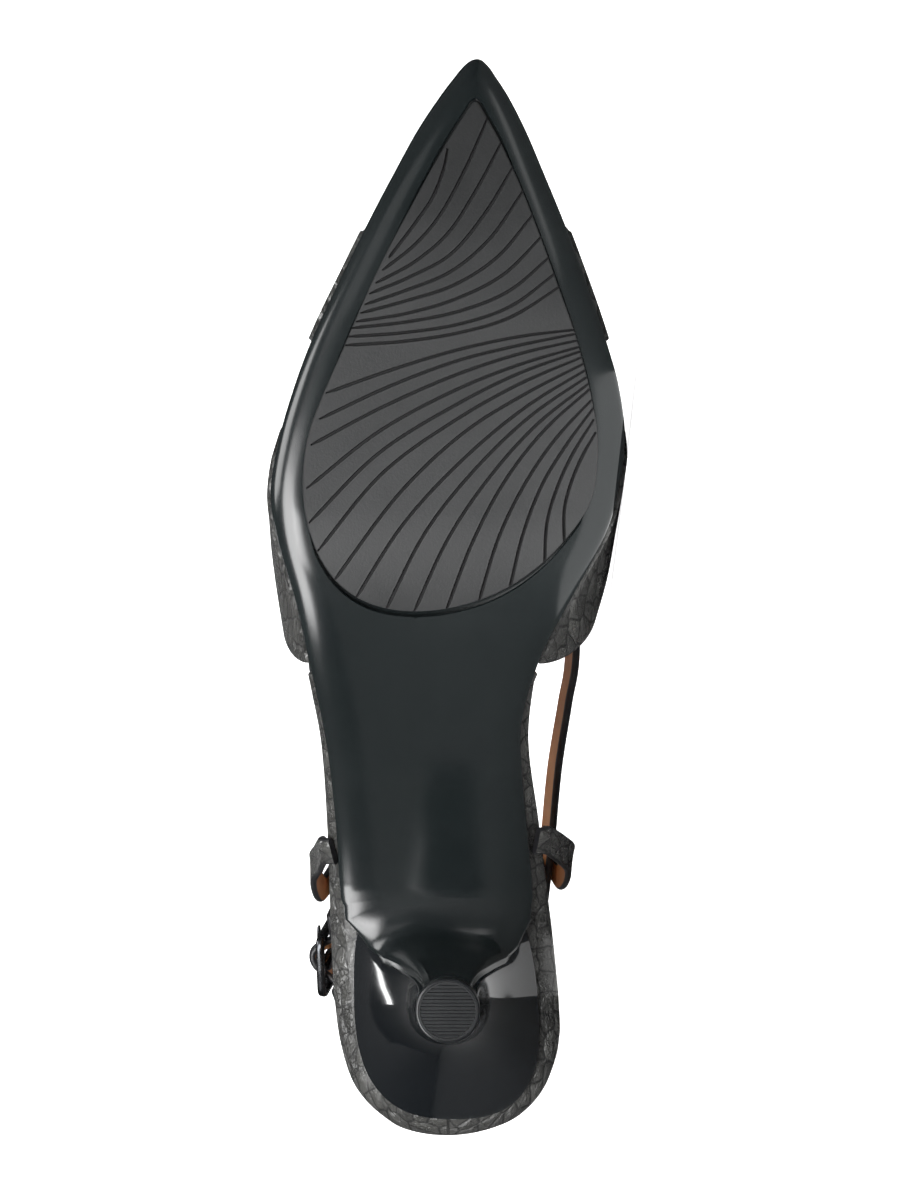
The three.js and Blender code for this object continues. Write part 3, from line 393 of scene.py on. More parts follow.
def column(rows, name, at, stretch):
    """A smooth curve through one column of a table; stretch opens up a blunt end."""
    places, values = stretch(rows["at"]), rows[name]
    s = stretch(at)
    last = len(places) - 1
    k = np.clip(np.searchsorted(places, s, side="left") - 1, 0, last - 1)
    low, high = np.maximum(0, np.arange(last + 1) - 1), np.minimum(last, np.arange(last + 1) + 1)
    slopes = (values[high] - values[low]) / (places[high] - places[low])
    span = places[k + 1] - places[k]
    t = np.clip((s - places[k]) / span, 0, 1)
    t2, t3 = t * t, t * t * t
    bends = slopes[k] * span * (t3 - 2 * t2 + t) + slopes[k + 1] * span * (t3 - t2)
    return values[k] * (2 * t3 - 3 * t2 + 1) + values[k + 1] * (3 * t2 - 2 * t3) + bends


def smooth_path(spots, steps):
    """Evenly spaced points on a smooth curve through the spots."""
    p = np.array(spots, float)
    p = np.vstack([2 * p[0] - p[1], p, 2 * p[-1] - p[-2]])
    fine = []
    t = np.linspace(0, 1, 60, endpoint=False)[:, None]
    for a, b, c, d in zip(p, p[1:], p[2:], p[3:]):
        ab, bc, cd = (math.sqrt(max(np.linalg.norm(v - u), 1e-6)) for u, v in ((a, b), (b, c), (c, d)))
        leave = ((b - a) / ab - (c - a) / (ab + bc) + (c - b) / bc) * bc
        arrive = ((c - b) / bc - (d - b) / (bc + cd) + (d - c) / cd) * bc
        fine.append(
            (2 * t**3 - 3 * t**2 + 1) * b
            + (t**3 - 2 * t**2 + t) * leave
            + (3 * t**2 - 2 * t**3) * c
            + (t**3 - t**2) * arrive
        )
    fine = np.vstack([*fine, p[-2:-1]])
    length = np.concatenate([[0], np.cumsum(np.linalg.norm(np.diff(fine, axis=0), axis=1))])
    even = np.linspace(0, length[-1], steps + 1)
    return np.stack([np.interp(even, length, fine[:, i]) for i in range(3)], axis=1)


def directions(path):
    """The unit direction along a path at each of its points."""
    ends = np.vstack([path[:1], path, path[-1:]])
    return unit(ends[2:] - ends[:-2])


# The shoe's own lines

def feather_height(y):
    """The underside of the footbed and the top of the outsole."""
    at = np.asarray(y, float) / SHOE_LENGTH
    spring = np.maximum(0, (at - SPRING_START) / (1 - SPRING_START)) ** 2
    climb = ease((BALL_BACK - at) / (BALL_BACK - SEAT_FRONT))
    seat = np.maximum(0, 1 - at / SEAT_FRONT) ** 2
    rise = (HEEL_HEIGHT - FOREPART_THICKNESS) * climb
    return FOREPART_THICKNESS + TOE_SPRING * spring + rise + SEAT_LIFT * seat


def half_widths(rows, y, stretch):
    """Lateral and medial edges in plan, the medial one negative."""
    at = np.asarray(y, float) / SHOE_LENGTH
    lateral = BALL_HALF_WIDTH * column(rows, "lateral", at, stretch)
    return lateral, -BALL_HALF_WIDTH * column(rows, "medial", at, stretch)


def sole_sides(y):
    return half_widths(SOLE_OUTLINE, y, to_toe)


def tread_sides(y):
    return half_widths(TREAD_OUTLINE, y, to_both_ends)


def tread_face(y):
    return feather_height(y) - FOREPART_THICKNESS


# Meshes

def mesh_piece(name, verts, faces, materials, slot, node, *, uv=None, face_material=None, crease=32):
    """A piece from shoe millimetres. Faces are rows of 3 or 4 corners, uv is in centimetres."""
    mesh = bpy.data.meshes.new(name)
    mesh.from_pydata(to_row(verts).tolist(), [], [list(map(int, f)) for f in faces])
    for material in materials:
        mesh.materials.append(material)
    if face_material is not None:
        mesh.polygons.foreach_set("material_index", np.asarray(face_material, np.int32))
    if uv is not None:
        corner = np.empty(len(mesh.loops), np.int32)
        mesh.loops.foreach_get("vertex_index", corner)
        layer = mesh.uv_layers.new(name="leather")
        layer.data.foreach_set("uv", np.asarray(uv, np.float32)[corner].ravel())
    piece = bpy.data.objects.new(name, mesh)
    bpy.context.scene.collection.objects.link(piece)
    tidy_mesh(piece, crease)
    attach(piece, "root")
    if node:
        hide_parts(node)
    return piece


def tidy_mesh(piece, crease):
    """Merges doubled points, turns the faces outwards and keeps edges sharper than crease sharp."""
    body = bmesh.new()
    body.from_mesh(piece.data)
    bmesh.ops.remove_doubles(body, verts=body.verts, dist=2e-6)
    bmesh.ops.dissolve_degenerate(body, edges=body.edges, dist=1e-7)
    bmesh.ops.recalc_face_normals(body, faces=body.faces)
    limit = math.radians(crease)
    for edge in body.edges:
        edge.smooth = len(edge.link_faces) == 2 and edge.calc_face_angle(0) < limit
    for face in body.faces:
        face.smooth = True
    body.to_mesh(piece.data)
    body.free()


def quads(rows, columns, closed=False):
    """Corner numbers of the faces of a grid whose points are numbered row by row."""
    i, j = np.meshgrid(np.arange(rows - 1), np.arange(columns if closed else columns - 1), indexing="ij")
    k = (j + 1) % columns
    corners = [i * columns + j, i * columns + k, (i + 1) * columns + k, (i + 1) * columns + j]
    return np.stack(corners, axis=-1).reshape(-1, 4)


def lid_faces(ring, middle):
    """A fan from a middle point over a ring of point numbers."""
    return [(middle, a, b) for a, b in zip(ring, np.roll(ring, -1))]


def loft(rings):
    """Points and faces through closed rings, with a lid at each end."""
    rings = np.asarray(rings, float)
    rows, count = rings.shape[:2]
    verts = np.vstack([rings.reshape(-1, 3), rings[0].mean(0), rings[-1].mean(0)])
    faces = [tuple(f) for f in quads(rows, count, closed=True)]
    faces += lid_faces(np.arange(count), rows * count)
    faces += lid_faces(np.arange(count) + (rows - 1) * count, rows * count + 1)
    return verts, faces


def join(parts):
    """Several (points, faces) as one."""
    verts, faces, start = [], [], 0
    for part_verts, part_faces in parts:
        verts.append(part_verts)
        faces += [tuple(n + start for n in f) for f in part_faces]
        start += len(part_verts)
    return np.vstack(verts), faces


def along_grid(grid):
    """Distances over a grid of points, in centimetres: along its rows from the middle, and down."""
    across = np.linalg.norm(np.diff(grid, axis=1), axis=2)
    u = np.concatenate([np.zeros((len(grid), 1)), np.cumsum(across, axis=1)], axis=1)
    u -= u[:, [grid.shape[1] // 2]]
    return np.stack([u, grid[:, :, 1]], axis=-1) / 10


# Heel and breast

HEEL_FOOT = LIFT_THICKNESS + CLEARANCE


def breast_line(arc_steps=44, drop_steps=36):
    """The line in side view down which the outsole's flap runs, as rows of y and z."""
    start = np.array([BREAST_TOP * SHOE_LENGTH, feather_height(BREAST_TOP * SHOE_LENGTH)])
    step = 0.01
    lean = math.atan((feather_height(start[0] - step) - start[1]) / step)
    steepest = 0.41 * math.pi
    centre = start - BREAST_RADIUS * np.array([math.sin(lean), math.cos(lean)])
    turn = np.linspace(lean, -steepest, arc_steps + 1)
    arc = centre + BREAST_RADIUS * np.stack([np.sin(turn), np.cos(turn)], axis=1)
    foot = np.array([BREAST_FOOT * SHOE_LENGTH, HEEL_FOOT + 0.4])
    reach = np.linalg.norm(foot - arc[-1])
    bend = arc[-1] - 0.4 * reach * np.array([math.cos(steepest), math.sin(steepest)])
    t = np.linspace(0, 1, drop_steps + 1)[1:, None]
    drop = (1 - t) ** 2 * arc[-1] + 2 * t * (1 - t) * bend + t**2 * foot
    return np.vstack([arc, drop])


BREAST = breast_line()
CREST = int(np.argmax(BREAST[:, 1]))


def breast_limit(z):
    """How far forward the heel may reach at a height."""
    falling = BREAST[CREST:][::-1]
    return np.interp(z, falling[:, 1], falling[:, 0]) - 1.3 * CLEARANCE


def heel_point(angle, depth):
    """The heel's section in plan at a share of its depth, 0 at the seat and 1 at the top lift."""
    c, s = np.cos(angle), np.sin(angle)
    middle, foot = SEAT_MIDDLE * SHOE_LENGTH, TIP_RADIUS + HEEL_FOOT_PAST
    ends = np.where(s > 0, SEAT_REACH * SHOE_LENGTH, SEAT_OVERHANG)
    seat_y = mix(middle, ends, np.abs(s) ** SEAT_ROUNDING)
    seat_x = np.sign(c) * SEAT_HALF_WIDTH * np.abs(c) ** SEAT_ROUNDING
    seat_x = seat_x + SEAT_SHIFT + SEAT_SKEW * (seat_y - middle)
    narrowing = 1 - (1 - depth) ** HEEL_NARROWING
    sweep = np.where(s > 0, depth**HEEL_FRONT_SWEEP, 1 - (1 - depth) ** HEEL_BACK_SWEEP)
    x = mix(seat_x, TIP_OFFSET + foot * c, narrowing)
    return x, mix(seat_y, TIP_AT * SHOE_LENGTH + foot * s, sweep)


def seat_top(y):
    return feather_height(y) - CLEARANCE


def heel_side(sign, y, z):
    """Where the heel's side is at a place in side view."""
    depth = np.clip((seat_top(y) - z) / (seat_top(y) - HEEL_FOOT), 0, 1)
    low, high = 0.0, math.pi / 2
    for _ in range(30):
        middle = (low + high) / 2
        if heel_point(middle, depth)[1] < y:
            low = middle
        else:
            high = middle
    return float(heel_point(low if sign > 0 else math.pi - low, depth)[0])


def flap_sweep():
    """How far back the flap's edges and the heel's front corners lie behind the middle of the
    breast, for each place of the breast line."""
    row = np.arange(len(BREAST))
    falling = np.interp(BREAST[:, 1], FLAP_SWEEP["height"], FLAP_SWEEP["back"])
    rising = FLAP_SWEEP["back"][-1] * ease(row / CREST)
    return np.where(row < CREST, rising, falling)


SWEEP = flap_sweep()


def corner_limit(x, z):
    """How far forward the heel may reach at a place in front view."""
    rows = range(len(BREAST) - 1, CREST, -1)
    heights = BREAST[rows, 1]
    outer = [[heel_side(sign, BREAST[i, 0] - SWEEP[i], BREAST[i, 1]) for i in rows] for sign in (1, -1)]
    lateral, medial = (np.interp(z, heights, side) for side in outer)
    across = np.abs((x - (lateral + medial) / 2) / ((lateral - medial) / 2))
    back = np.interp(z, heights, SWEEP[rows])
    return breast_limit(z) - back * np.minimum(across, 1.15) ** FLAP_BOW


def heel_block(materials):
    around, levels, corner_round, lip = 260, 90, 1.3, 0.5
    front = BREAST_TOP * SHOE_LENGTH - 6
    depth = (np.linspace(0, 1, levels) ** 1.35)[:, None]
    angle = np.linspace(0, 2 * math.pi, around, endpoint=False)[None, :]
    x, free_y = heel_point(angle, depth)
    y = np.minimum(free_y, front)
    for _ in range(4):
        y = np.minimum(y, corner_limit(x, mix(seat_top(y), HEEL_FOOT, depth)))
    limit = np.minimum(front, corner_limit(x, mix(seat_top(y), HEEL_FOOT, depth)))
    y = soft_min(free_y, limit, corner_round)
    inset = lip * np.maximum(0, 1 - depth / 0.02) ** 2
    x = x - inset * np.cos(angle)
    y = y - inset * np.sin(angle)
    verts, faces = loft(points(x, y, mix(seat_top(y), HEEL_FOOT, depth)))
    return mesh_piece("heel_block", verts, faces, materials, "heel_plastic", "heel", crease=40)


def heel_lift(materials):
    """The round lift: a rim with a fine line in it, and ribs across its sunk middle."""
    rib_depth, rib_field, rib_pitch, rib_width = 0.45, 6.4, 0.82, 0.46
    profile = [
        (0, rib_depth),
        (rib_field, rib_depth),
        (rib_field + 0.05, 0),
        (6.78, 0),
        (6.84, 0.16),
        (6.98, 0.16),
        (7.04, 0),
        (7.24, 0.05),
        (7.42, 0.2),
        (TIP_RADIUS, 0.5),
        (TIP_RADIUS, LIFT_THICKNESS - 0.2),
        (TIP_RADIUS - 0.2, LIFT_THICKNESS),
        (0, LIFT_THICKNESS),
    ]
    turn = np.linspace(0, 2 * math.pi, 128, endpoint=False)
    centre = np.array([TIP_OFFSET, TIP_AT * SHOE_LENGTH, 0])
    rings = [points(r * np.cos(turn), r * np.sin(turn), z) + centre for r, z in profile]
    parts = [loft(rings)]
    count = int(rib_field / rib_pitch)
    for y in rib_pitch * np.arange(-count, count + 1):
        reach = math.sqrt(max(0, rib_field**2 - (abs(y) + rib_width / 2) ** 2)) + 0.02
        across = [(-0.5, 0.3), (-0.42, -0.32), (-0.25, -0.42), (0.25, -0.42), (0.42, -0.32), (0.5, 0.3)]
        section = [(y + rib_width * a, rib_depth * (0.5 + b)) for a, b in across]
        ends = [points(side * reach, *np.array(section).T) + centre for side in (-1, 1)]
        parts.append(loft(ends))
    verts, faces = join(parts)
    return mesh_piece("heel_lift", verts, faces, materials, "lift_rubber", "top_lift", crease=30)


# Outsole

def sole_ring(top, into, sides, thickness, bevels, recess=None):
    """One ring of the outsole. top is (y, z) of its upper face, into the direction to its outside,
    and recess the (lateral, medial, depth) of the tread's seat at this place."""
    lateral, medial = sides
    half = (lateral - medial) / 2
    full = min(1, half / max(bevels))
    deep = mix(SOLE_EDGE, thickness, math.sin(full * math.pi / 2))
    arc = np.linspace(0, math.pi / 2, 15)
    drop = mix(SOLE_EDGE, deep, np.sin(arc))
    inset = [min(b, half) for b in bevels]
    lip = 0.22
    seat_lateral, seat_medial, seat_depth = recess or (0.5 * (lateral + medial),) * 2 + (0,)
    seat_lateral = min(seat_lateral, lateral - inset[0] - lip)
    seat_medial = max(seat_medial, medial + inset[1] + lip)
    if seat_lateral < seat_medial:
        seat_lateral = seat_medial = (seat_lateral + seat_medial) / 2
    soft = lip if seat_depth else 0
    section = [(x, 0) for x in np.linspace(medial, lateral, 5)]
    section += list(zip(lateral - inset[0] * (1 - np.cos(arc)), drop))
    section += [(seat_lateral + soft, deep), (seat_lateral, deep - soft), (seat_lateral, deep - seat_depth)]
    section += [(seat_medial, deep - seat_depth), (seat_medial, deep - soft), (seat_medial - soft, deep)]
    section += list(zip(medial + inset[1] * (1 - np.cos(arc[::-1])), drop[::-1]))
    x, depth = np.array(section).T
    return points(x, top[0] + into[0] * depth, top[1] + into[1] * depth)


def sole_shell(materials):
    rings = []
    grown = CLEARANCE
    seat_depth = TREAD_DEPTH + grown
    ends = TREAD_ENDS * SHOE_LENGTH + np.array([-grown, grown])
    seat_share = (1 - np.cos(np.linspace(0, math.pi, 121))) / 2
    seat_y = list(mix(ends[0], ends[1], seat_share))
    front = list(SHOE_LENGTH * from_toe(np.linspace(1, to_toe(ends[1] / SHOE_LENGTH), 26)[:-1]))
    waist = list(np.linspace(ends[0], BREAST_TOP * SHOE_LENGTH, 80)[1:-1])
    stations = [(y, None) for y in front + [ends[1]]]
    stations += [(y, seat_depth) for y in reversed(seat_y)]
    stations += [(y, None) for y in [ends[0]] + waist]
    for y, seat in stations:
        step = 0.05
        lean = math.atan((feather_height(y - step) - feather_height(y + step)) / (2 * step))
        at_waist = ease((0.56 - y / SHOE_LENGTH) / 0.12)
        thickness = mix(FOREPART_THICKNESS - TREAD_PROUD, WAIST_THICKNESS, at_waist)
        wide = mix(1, 1.25, at_waist)
        inner = np.clip(y, *(TREAD_ENDS * SHOE_LENGTH))
        share = np.clip((y - ends[0]) / (ends[1] - ends[0]), 0, 1)
        swell = grown * math.sin(math.pi * share) ** 0.5
        lateral, medial = (float(v) for v in tread_sides(inner))
        rings.append(
            sole_ring(
                (y, float(feather_height(y))),
                (-math.sin(lean), -math.cos(lean)),
                [float(v) for v in sole_sides(y)],
                thickness,
                (LATERAL_BEVEL * wide, MEDIAL_BEVEL * wide),
                (lateral + swell, medial - swell, seat or 0),
            )
        )
    rings += flap_rings()
    verts, faces = loft(rings)
    return mesh_piece("sole_shell", verts, faces, materials, "sole_rubber", "outsole", crease=35)


def flap_rings():
    """The outsole's flap down the heel's breast; it narrows with the heel behind it."""
    rings = []
    ways = unit(np.gradient(BREAST, axis=0))
    middle = [0.5 * sum(float(v) for v in tread_sides(TREAD_ENDS[0] * SHOE_LENGTH))] * 2
    for i, (place, way) in enumerate(zip(BREAST, ways)):
        into = (-way[1], way[0])
        down = i / (len(BREAST) - 1)
        thickness = mix(WAIST_THICKNESS, FLAP_THICKNESS, ease(down * 2))
        outer = place + thickness * np.array(into)
        waist = [float(v) for v in sole_sides(max(place[0], WAIST_BACK * SHOE_LENGTH))]
        turn = ease((down - 0.05) * 2.5)
        heel = [heel_side(sign, outer[0] - SWEEP[i], outer[1]) for sign in (1, -1)]
        sides = [mix(waist[k], heel[k], turn) for k in (0, 1)]
        narrow = (sides[0] - sides[1]) * mix(0.22, 0.12, turn)
        ring = sole_ring(place, into, sides, thickness, (narrow, narrow), (*middle, 0))
        across = np.abs((ring[:, 0] - sum(sides) / 2) / ((sides[0] - sides[1]) / 2))
        ring[:, 1] -= SWEEP[i] * across**FLAP_BOW
        rings.append(ring)
    return rings


def tread_slab():
    edge_round = 0.22
    low, high = TREAD_ENDS * SHOE_LENGTH
    rings = []
    for share in (1 - np.cos(np.linspace(0, math.pi, 121))) / 2:
        y = mix(low, high, share)
        lateral, medial = (float(v) for v in tread_sides(y))
        soft = min(edge_round, max(0, (lateral - medial) / 2 - 0.01))
        face, back = tread_face(y), tread_face(y) + TREAD_PROUD + TREAD_DEPTH
        x = [medial + soft, lateral - soft, lateral, lateral, medial, medial]
        z = [face, face, face + soft, back, back, face + soft]
        rings.append(points(np.array(x), y, np.array(z)))
    return loft(rings)


def groove_cutters():
    """One bar for each groove, narrow at its ends; those that reach the panel's edge run past it."""
    bars = []
    for number, row in enumerate(zip(*GROOVES.values())):
        spots = [np.array([x, y, 0.0]) for x, y in zip(row[::2], row[1::2])]
        first, last = unit(spots[0] - spots[1]), unit(spots[-1] - spots[-2])
        spots[0] = spots[0] + first * (0 if number == 0 else GROOVE_PAST)
        spots[-1] = spots[-1] + last * (GROOVE_PAST if number >= FIRST_REAR_GROOVE else GROOVE_SHORT)
        line = smooth_path(spots, 48)[:, :2]
        way = unit(np.gradient(line, axis=0))
        side = np.stack([-way[:, 1], way[:, 0]], axis=1)
        t = np.linspace(0, 1, len(line))
        width = GROOVE_WIDTH * mix(0.75, 1, ease(t * 4)) * mix(0.45, 1, ease((1 - t) * 24))
        rings = []
        for place, across, w in zip(line, side, width):
            face = tread_face(place[1])
            section = [(-0.5, -1), (0.5, -1), (0.5, 0.1), (0.3, 1), (-0.3, 1), (-0.5, 0.1)]
            rings.append([(*(place + across * w * a), face + GROOVE_DEPTH * b) for a, b in section])
        bars.append(loft(rings))
    return join(bars)


def tread_panel(materials):
    """The tread's slab with its grooves cut out, their walls painted near-black as shade."""
    slab = mesh_piece("tread_panel", *tread_slab(), materials, "tread_rubber", "tread", crease=20)
    verts, faces = groove_cutters()
    # The cut walls take slot 1, the near-black groove colour: painted shade.
    in_groove = [1] * len(faces)
    cutter = mesh_piece(
        "groove_cutters", verts, faces, materials, "tread_rubber", None, face_material=in_groove
    )
    cut = slab.modifiers.new("grooves", "BOOLEAN")
    cut.operation = "DIFFERENCE"
    cut.solver = "EXACT"
    cut.use_self = True
    cut.object = cutter
    bpy.context.view_layer.update()
    shown = slab.evaluated_get(bpy.context.evaluated_depsgraph_get())
    grooved = bpy.data.meshes.new_from_object(shown)
    slab.modifiers.clear()
    slab.data = grooved
    bpy.data.objects.remove(cutter)
    tidy_mesh(slab, 20)
    return slab


# Upper

def upper_surface(y, across):
    """The outside of the upper under its bands; across runs from the medial feather edge at 0
    over the instep to the lateral one at 1."""
    y, across = np.broadcast_arrays(np.asarray(y, float), np.asarray(across, float))
    lateral = across > 0.5
    sign = np.where(lateral, 1, -1)
    share = np.where(lateral, 1 - across, across)
    side_lateral, side_medial = sole_sides(y)
    ridge = mix(side_medial, side_lateral, 0.47)
    over = BAND_THICKNESS * ease(np.minimum(1, (SHOE_LENGTH - y) / 12))
    foot = np.abs(np.where(lateral, side_lateral, side_medial) - ridge)
    at = y / SHOE_LENGTH
    girth = np.where(lateral, column(GIRTH, "lateral", at, to_toe), column(GIRTH, "medial", at, to_toe))
    widest = np.abs(BALL_HALF_WIDTH * girth - sign * ridge) - over
    height = INSTEP_HEIGHT * column(GIRTH, "height", at, to_toe) - over
    knee = height * WIDEST_SHARE
    base = feather_height(y) + CLEARANCE
    t = share / SIDE_SHARE
    bulge = np.maximum(widest, foot - over)
    low = mix(foot - 0.3 * over, bulge, 1 - (1 - t) ** 2)
    a = np.clip((share - SIDE_SHARE) / (0.5 - SIDE_SHARE), 0, 1) * math.pi / 2
    high = bulge * np.maximum(np.cos(a), 0) ** 0.94
    on_side = share < SIDE_SHARE
    reach = np.where(on_side, low, high)
    rise = np.where(on_side, knee * t, knee + (height - knee) * np.sin(a))
    return points(ridge + sign * reach, y, base + rise)


def upper_offset(y, across, distance):
    """The same surface moved outwards by a distance."""
    y, across = np.broadcast_arrays(np.asarray(y, float), np.asarray(across, float))
    step = 0.004
    near = np.minimum(y, SHOE_LENGTH * 0.996)
    low, high = np.maximum(0, across - step), np.minimum(1, across + step)
    across_way = upper_surface(near, high) - upper_surface(near, low)
    along_way = upper_surface(near + 0.5, across) - upper_surface(near - 0.5, across)
    normal = unit(np.cross(across_way, along_way))
    normal[..., 2] = np.maximum(normal[..., 2], -0.35)
    normal = unit(normal)
    p = upper_surface(y, across) + normal * np.asarray(distance, float)[..., None]
    base = feather_height(y) + CLEARANCE
    p[..., 2] = np.maximum(p[..., 2], base)
    edge = (across <= 0) | (across >= 1)
    p[..., 2] = np.where(edge, base, p[..., 2])
    return p


def vamp_edge(across):
    """How far back the upper reaches, from the feather edge over the corner to the throat."""
    q = np.abs(across - 0.5) * 2
    corner = np.where(across > 0.5, VAMP_CORNER["lateral"], VAMP_CORNER["medial"])
    side = mix(corner, VAMP_BACK, ease((q - CORNER_SHARE) / (1 - CORNER_SHARE)))
    opening = mix(THROAT, corner, np.minimum(1, q / CORNER_SHARE) ** 2.2)
    return SHOE_LENGTH * np.where(q < CORNER_SHARE, opening, side)


def strip_edge(n, across):
    q = np.abs(across - 0.5) * 2
    return SHOE_LENGTH * mix(STRIPS["top"][n], STRIPS["side"][n], ease(q**0.8))


def upper_columns():
    corner = 0.5 - CORNER_SHARE / 2
    half = np.concatenate(
        [
            np.linspace(0, SIDE_SHARE, 26)[:-1],
            np.linspace(SIDE_SHARE, corner, 20)[:-1],
            np.linspace(corner, 0.5, 42)[:-1],
        ]
    )
    return np.concatenate([half, [0.5], 1 - half[::-1]])


def strip_rows(n, across, coarse):
    """Rows of (y, lift) over one strip; a raised strip has rounded edges."""
    round_off, soft = 0.5, np.array([0, 0.06, 0.17, 0.34, 0.5])
    is_last = n == len(STRIPS["top"]) - 1
    back = vamp_edge(across) if n == 0 else strip_edge(n - 1, across) + STEP_RUN
    front = strip_edge(n, across)
    raised = STRIPS["thick"][n] * BAND_THICKNESS
    blunt = min(round_off, raised)
    drop = blunt * (1 - np.sqrt(np.maximum(0, 1 - (1 - soft / round_off) ** 2)))
    rows = max(3, int(STRIPS["rows"][n]) // coarse)
    from_s = to_toe((back + round_off) / SHOE_LENGTH)
    to_s = to_toe((front - (0 if is_last else round_off)) / SHOE_LENGTH)
    inner = [(SHOE_LENGTH * from_toe(mix(from_s, to_s, i / rows)), raised) for i in range(rows + 1)]
    lead = [(back + d, raised - (k if n else 0)) for d, k in zip(soft[:-1], drop[:-1])]
    trail = [(front - d, raised - k) for d, k in zip(soft[:-1][::-1], drop[:-1][::-1])]
    return lead + inner + ([] if is_last else trail)


def upper_grid(across, inward, coarse=1):
    """The upper's surface over all its strips, or its lining where inward is the wall."""
    toe_wall, toe_from = 1.6 * inward, 0.93
    rows = []
    for n in range(len(STRIPS["top"])):
        for y, lift in strip_rows(n, across, coarse):
            near_toe = ease((y / SHOE_LENGTH - toe_from) / (1 - toe_from))
            row = upper_offset(y, across, -inward if inward else np.full(across.shape, lift))
            row[:, 1] -= toe_wall * near_toe
            rows.append(row)
    toe = np.array([float(sole_sides(SHOE_LENGTH)[0]), SHOE_LENGTH - toe_wall, 0])
    toe[2] = feather_height(SHOE_LENGTH) + CLEARANCE
    rows[-1] = np.tile(toe, (len(across), 1))
    return np.array(rows)


def hem(edge, other):
    """A strip turned in under the upper, from one lower edge towards the other."""
    inward = (other - edge) / 2
    reach = np.linalg.norm(inward, axis=1, keepdims=True)
    return np.array([edge, edge + inward * np.minimum(1, HEM / np.maximum(reach, HEM))])


def vamp(materials):
    """The hollow upper: leather outside with its bands and toe cap, a rolled edge and a lining."""
    across = upper_columns()
    outer = upper_grid(across, 0)
    inner = upper_grid(across, UPPER_WALL, coarse=3)
    middle, half = (outer[0] + inner[0]) / 2, (outer[0] - inner[0]) / 2
    size = np.linalg.norm(half, axis=1, keepdims=True)
    roll = []
    for turn in np.linspace(0, math.pi, 11)[1:-1]:
        back = np.array([0, -0.28 * math.sin(turn), 0]) * size
        roll.append(middle + half * math.copysign(abs(math.cos(turn)) ** 0.6, math.cos(turn)) + back)
    grid = np.concatenate([outer[::-1], np.array(roll), inner])
    rows, count = grid.shape[:2]
    hems = [hem(outer[:, 0], outer[:, -1]), hem(outer[:, -1], outer[:, 0])]
    under = quads(2, len(outer))
    shell = (grid.reshape(-1, 3), quads(rows, count))
    verts, faces = join([shell] + [(strip.reshape(-1, 3), under) for strip in hems])
    kinds = np.repeat([0, 1, 2], [len(outer) - 1, len(roll) + 1, len(inner) - 1])
    material = list(np.repeat(kinds, count - 1)) + [0] * (len(hems) * len(under))
    flat = [strip[..., :2].reshape(-1, 2) / 10 for strip in hems]
    uv = np.vstack([along_grid(grid).reshape(-1, 2)] + flat)
    return mesh_piece(
        "vamp", verts, faces, materials, "croc_leather", "upper",
        uv=uv, face_material=material, crease=38,
    )


# Footbed

SIDE_PROFILE = table("inset lift", (1, 0), (0.42, 0.24), (0.06, 0.55), (0.06, 0.9))


def open_share(y):
    return ease((VAMP_BACK * SHOE_LENGTH - 1.5 - y) / 4)


def overhang(y):
    return mix(WAIST_OVERHANG, HEEL_OVERHANG, ease((90 - y) / 60)) * open_share(y)


def footbed_full(y):
    return mix(INSOLE_THICKNESS, FOOTBED_HEIGHT, open_share(y))


def footbed_loop():
    """The footbed's edge in plan, once round, and its outward directions."""
    toe_end = SHOE_LENGTH - 10 * UPPER_WALL
    join_back, join_front = VAMP_BACK * SHOE_LENGTH - 3.4, VAMP_BACK * SHOE_LENGTH - 0.8

    def inside(y):
        gap = UPPER_WALL + 2 * CLEARANCE + 0.5 + UPPER_WALL * ease((y / SHOE_LENGTH - 0.83) / 0.1)
        lateral, medial = sole_sides(y)
        return lateral - gap, medial + gap

    y = np.concatenate(
        [
            mix(FOOTBED_OUTLINE["at"][0] * SHOE_LENGTH, join_back, np.linspace(0, 1, 110) ** 2),
            np.linspace(join_back, join_front, 6)[1:],
            SHOE_LENGTH
            * from_toe(np.linspace(to_toe(join_front / SHOE_LENGTH), to_toe(toe_end / SHOE_LENGTH), 50)[1:]),
        ]
    )
    behind = half_widths(FOOTBED_OUTLINE, np.minimum(y, join_back), to_heel)
    ahead = inside(np.maximum(y, join_front))
    t = ease((y - join_back) / (join_front - join_back))
    lateral, medial = (mix(a, b, t) for a, b in zip(behind, ahead))
    loop = np.concatenate([np.stack([lateral, y], 1), np.stack([medial, y], 1)[::-1][:-1]])
    way = unit(np.roll(loop, -1, axis=0) - np.roll(loop, 1, axis=0))
    return loop, np.stack([way[:, 1], -way[:, 0]], axis=1)


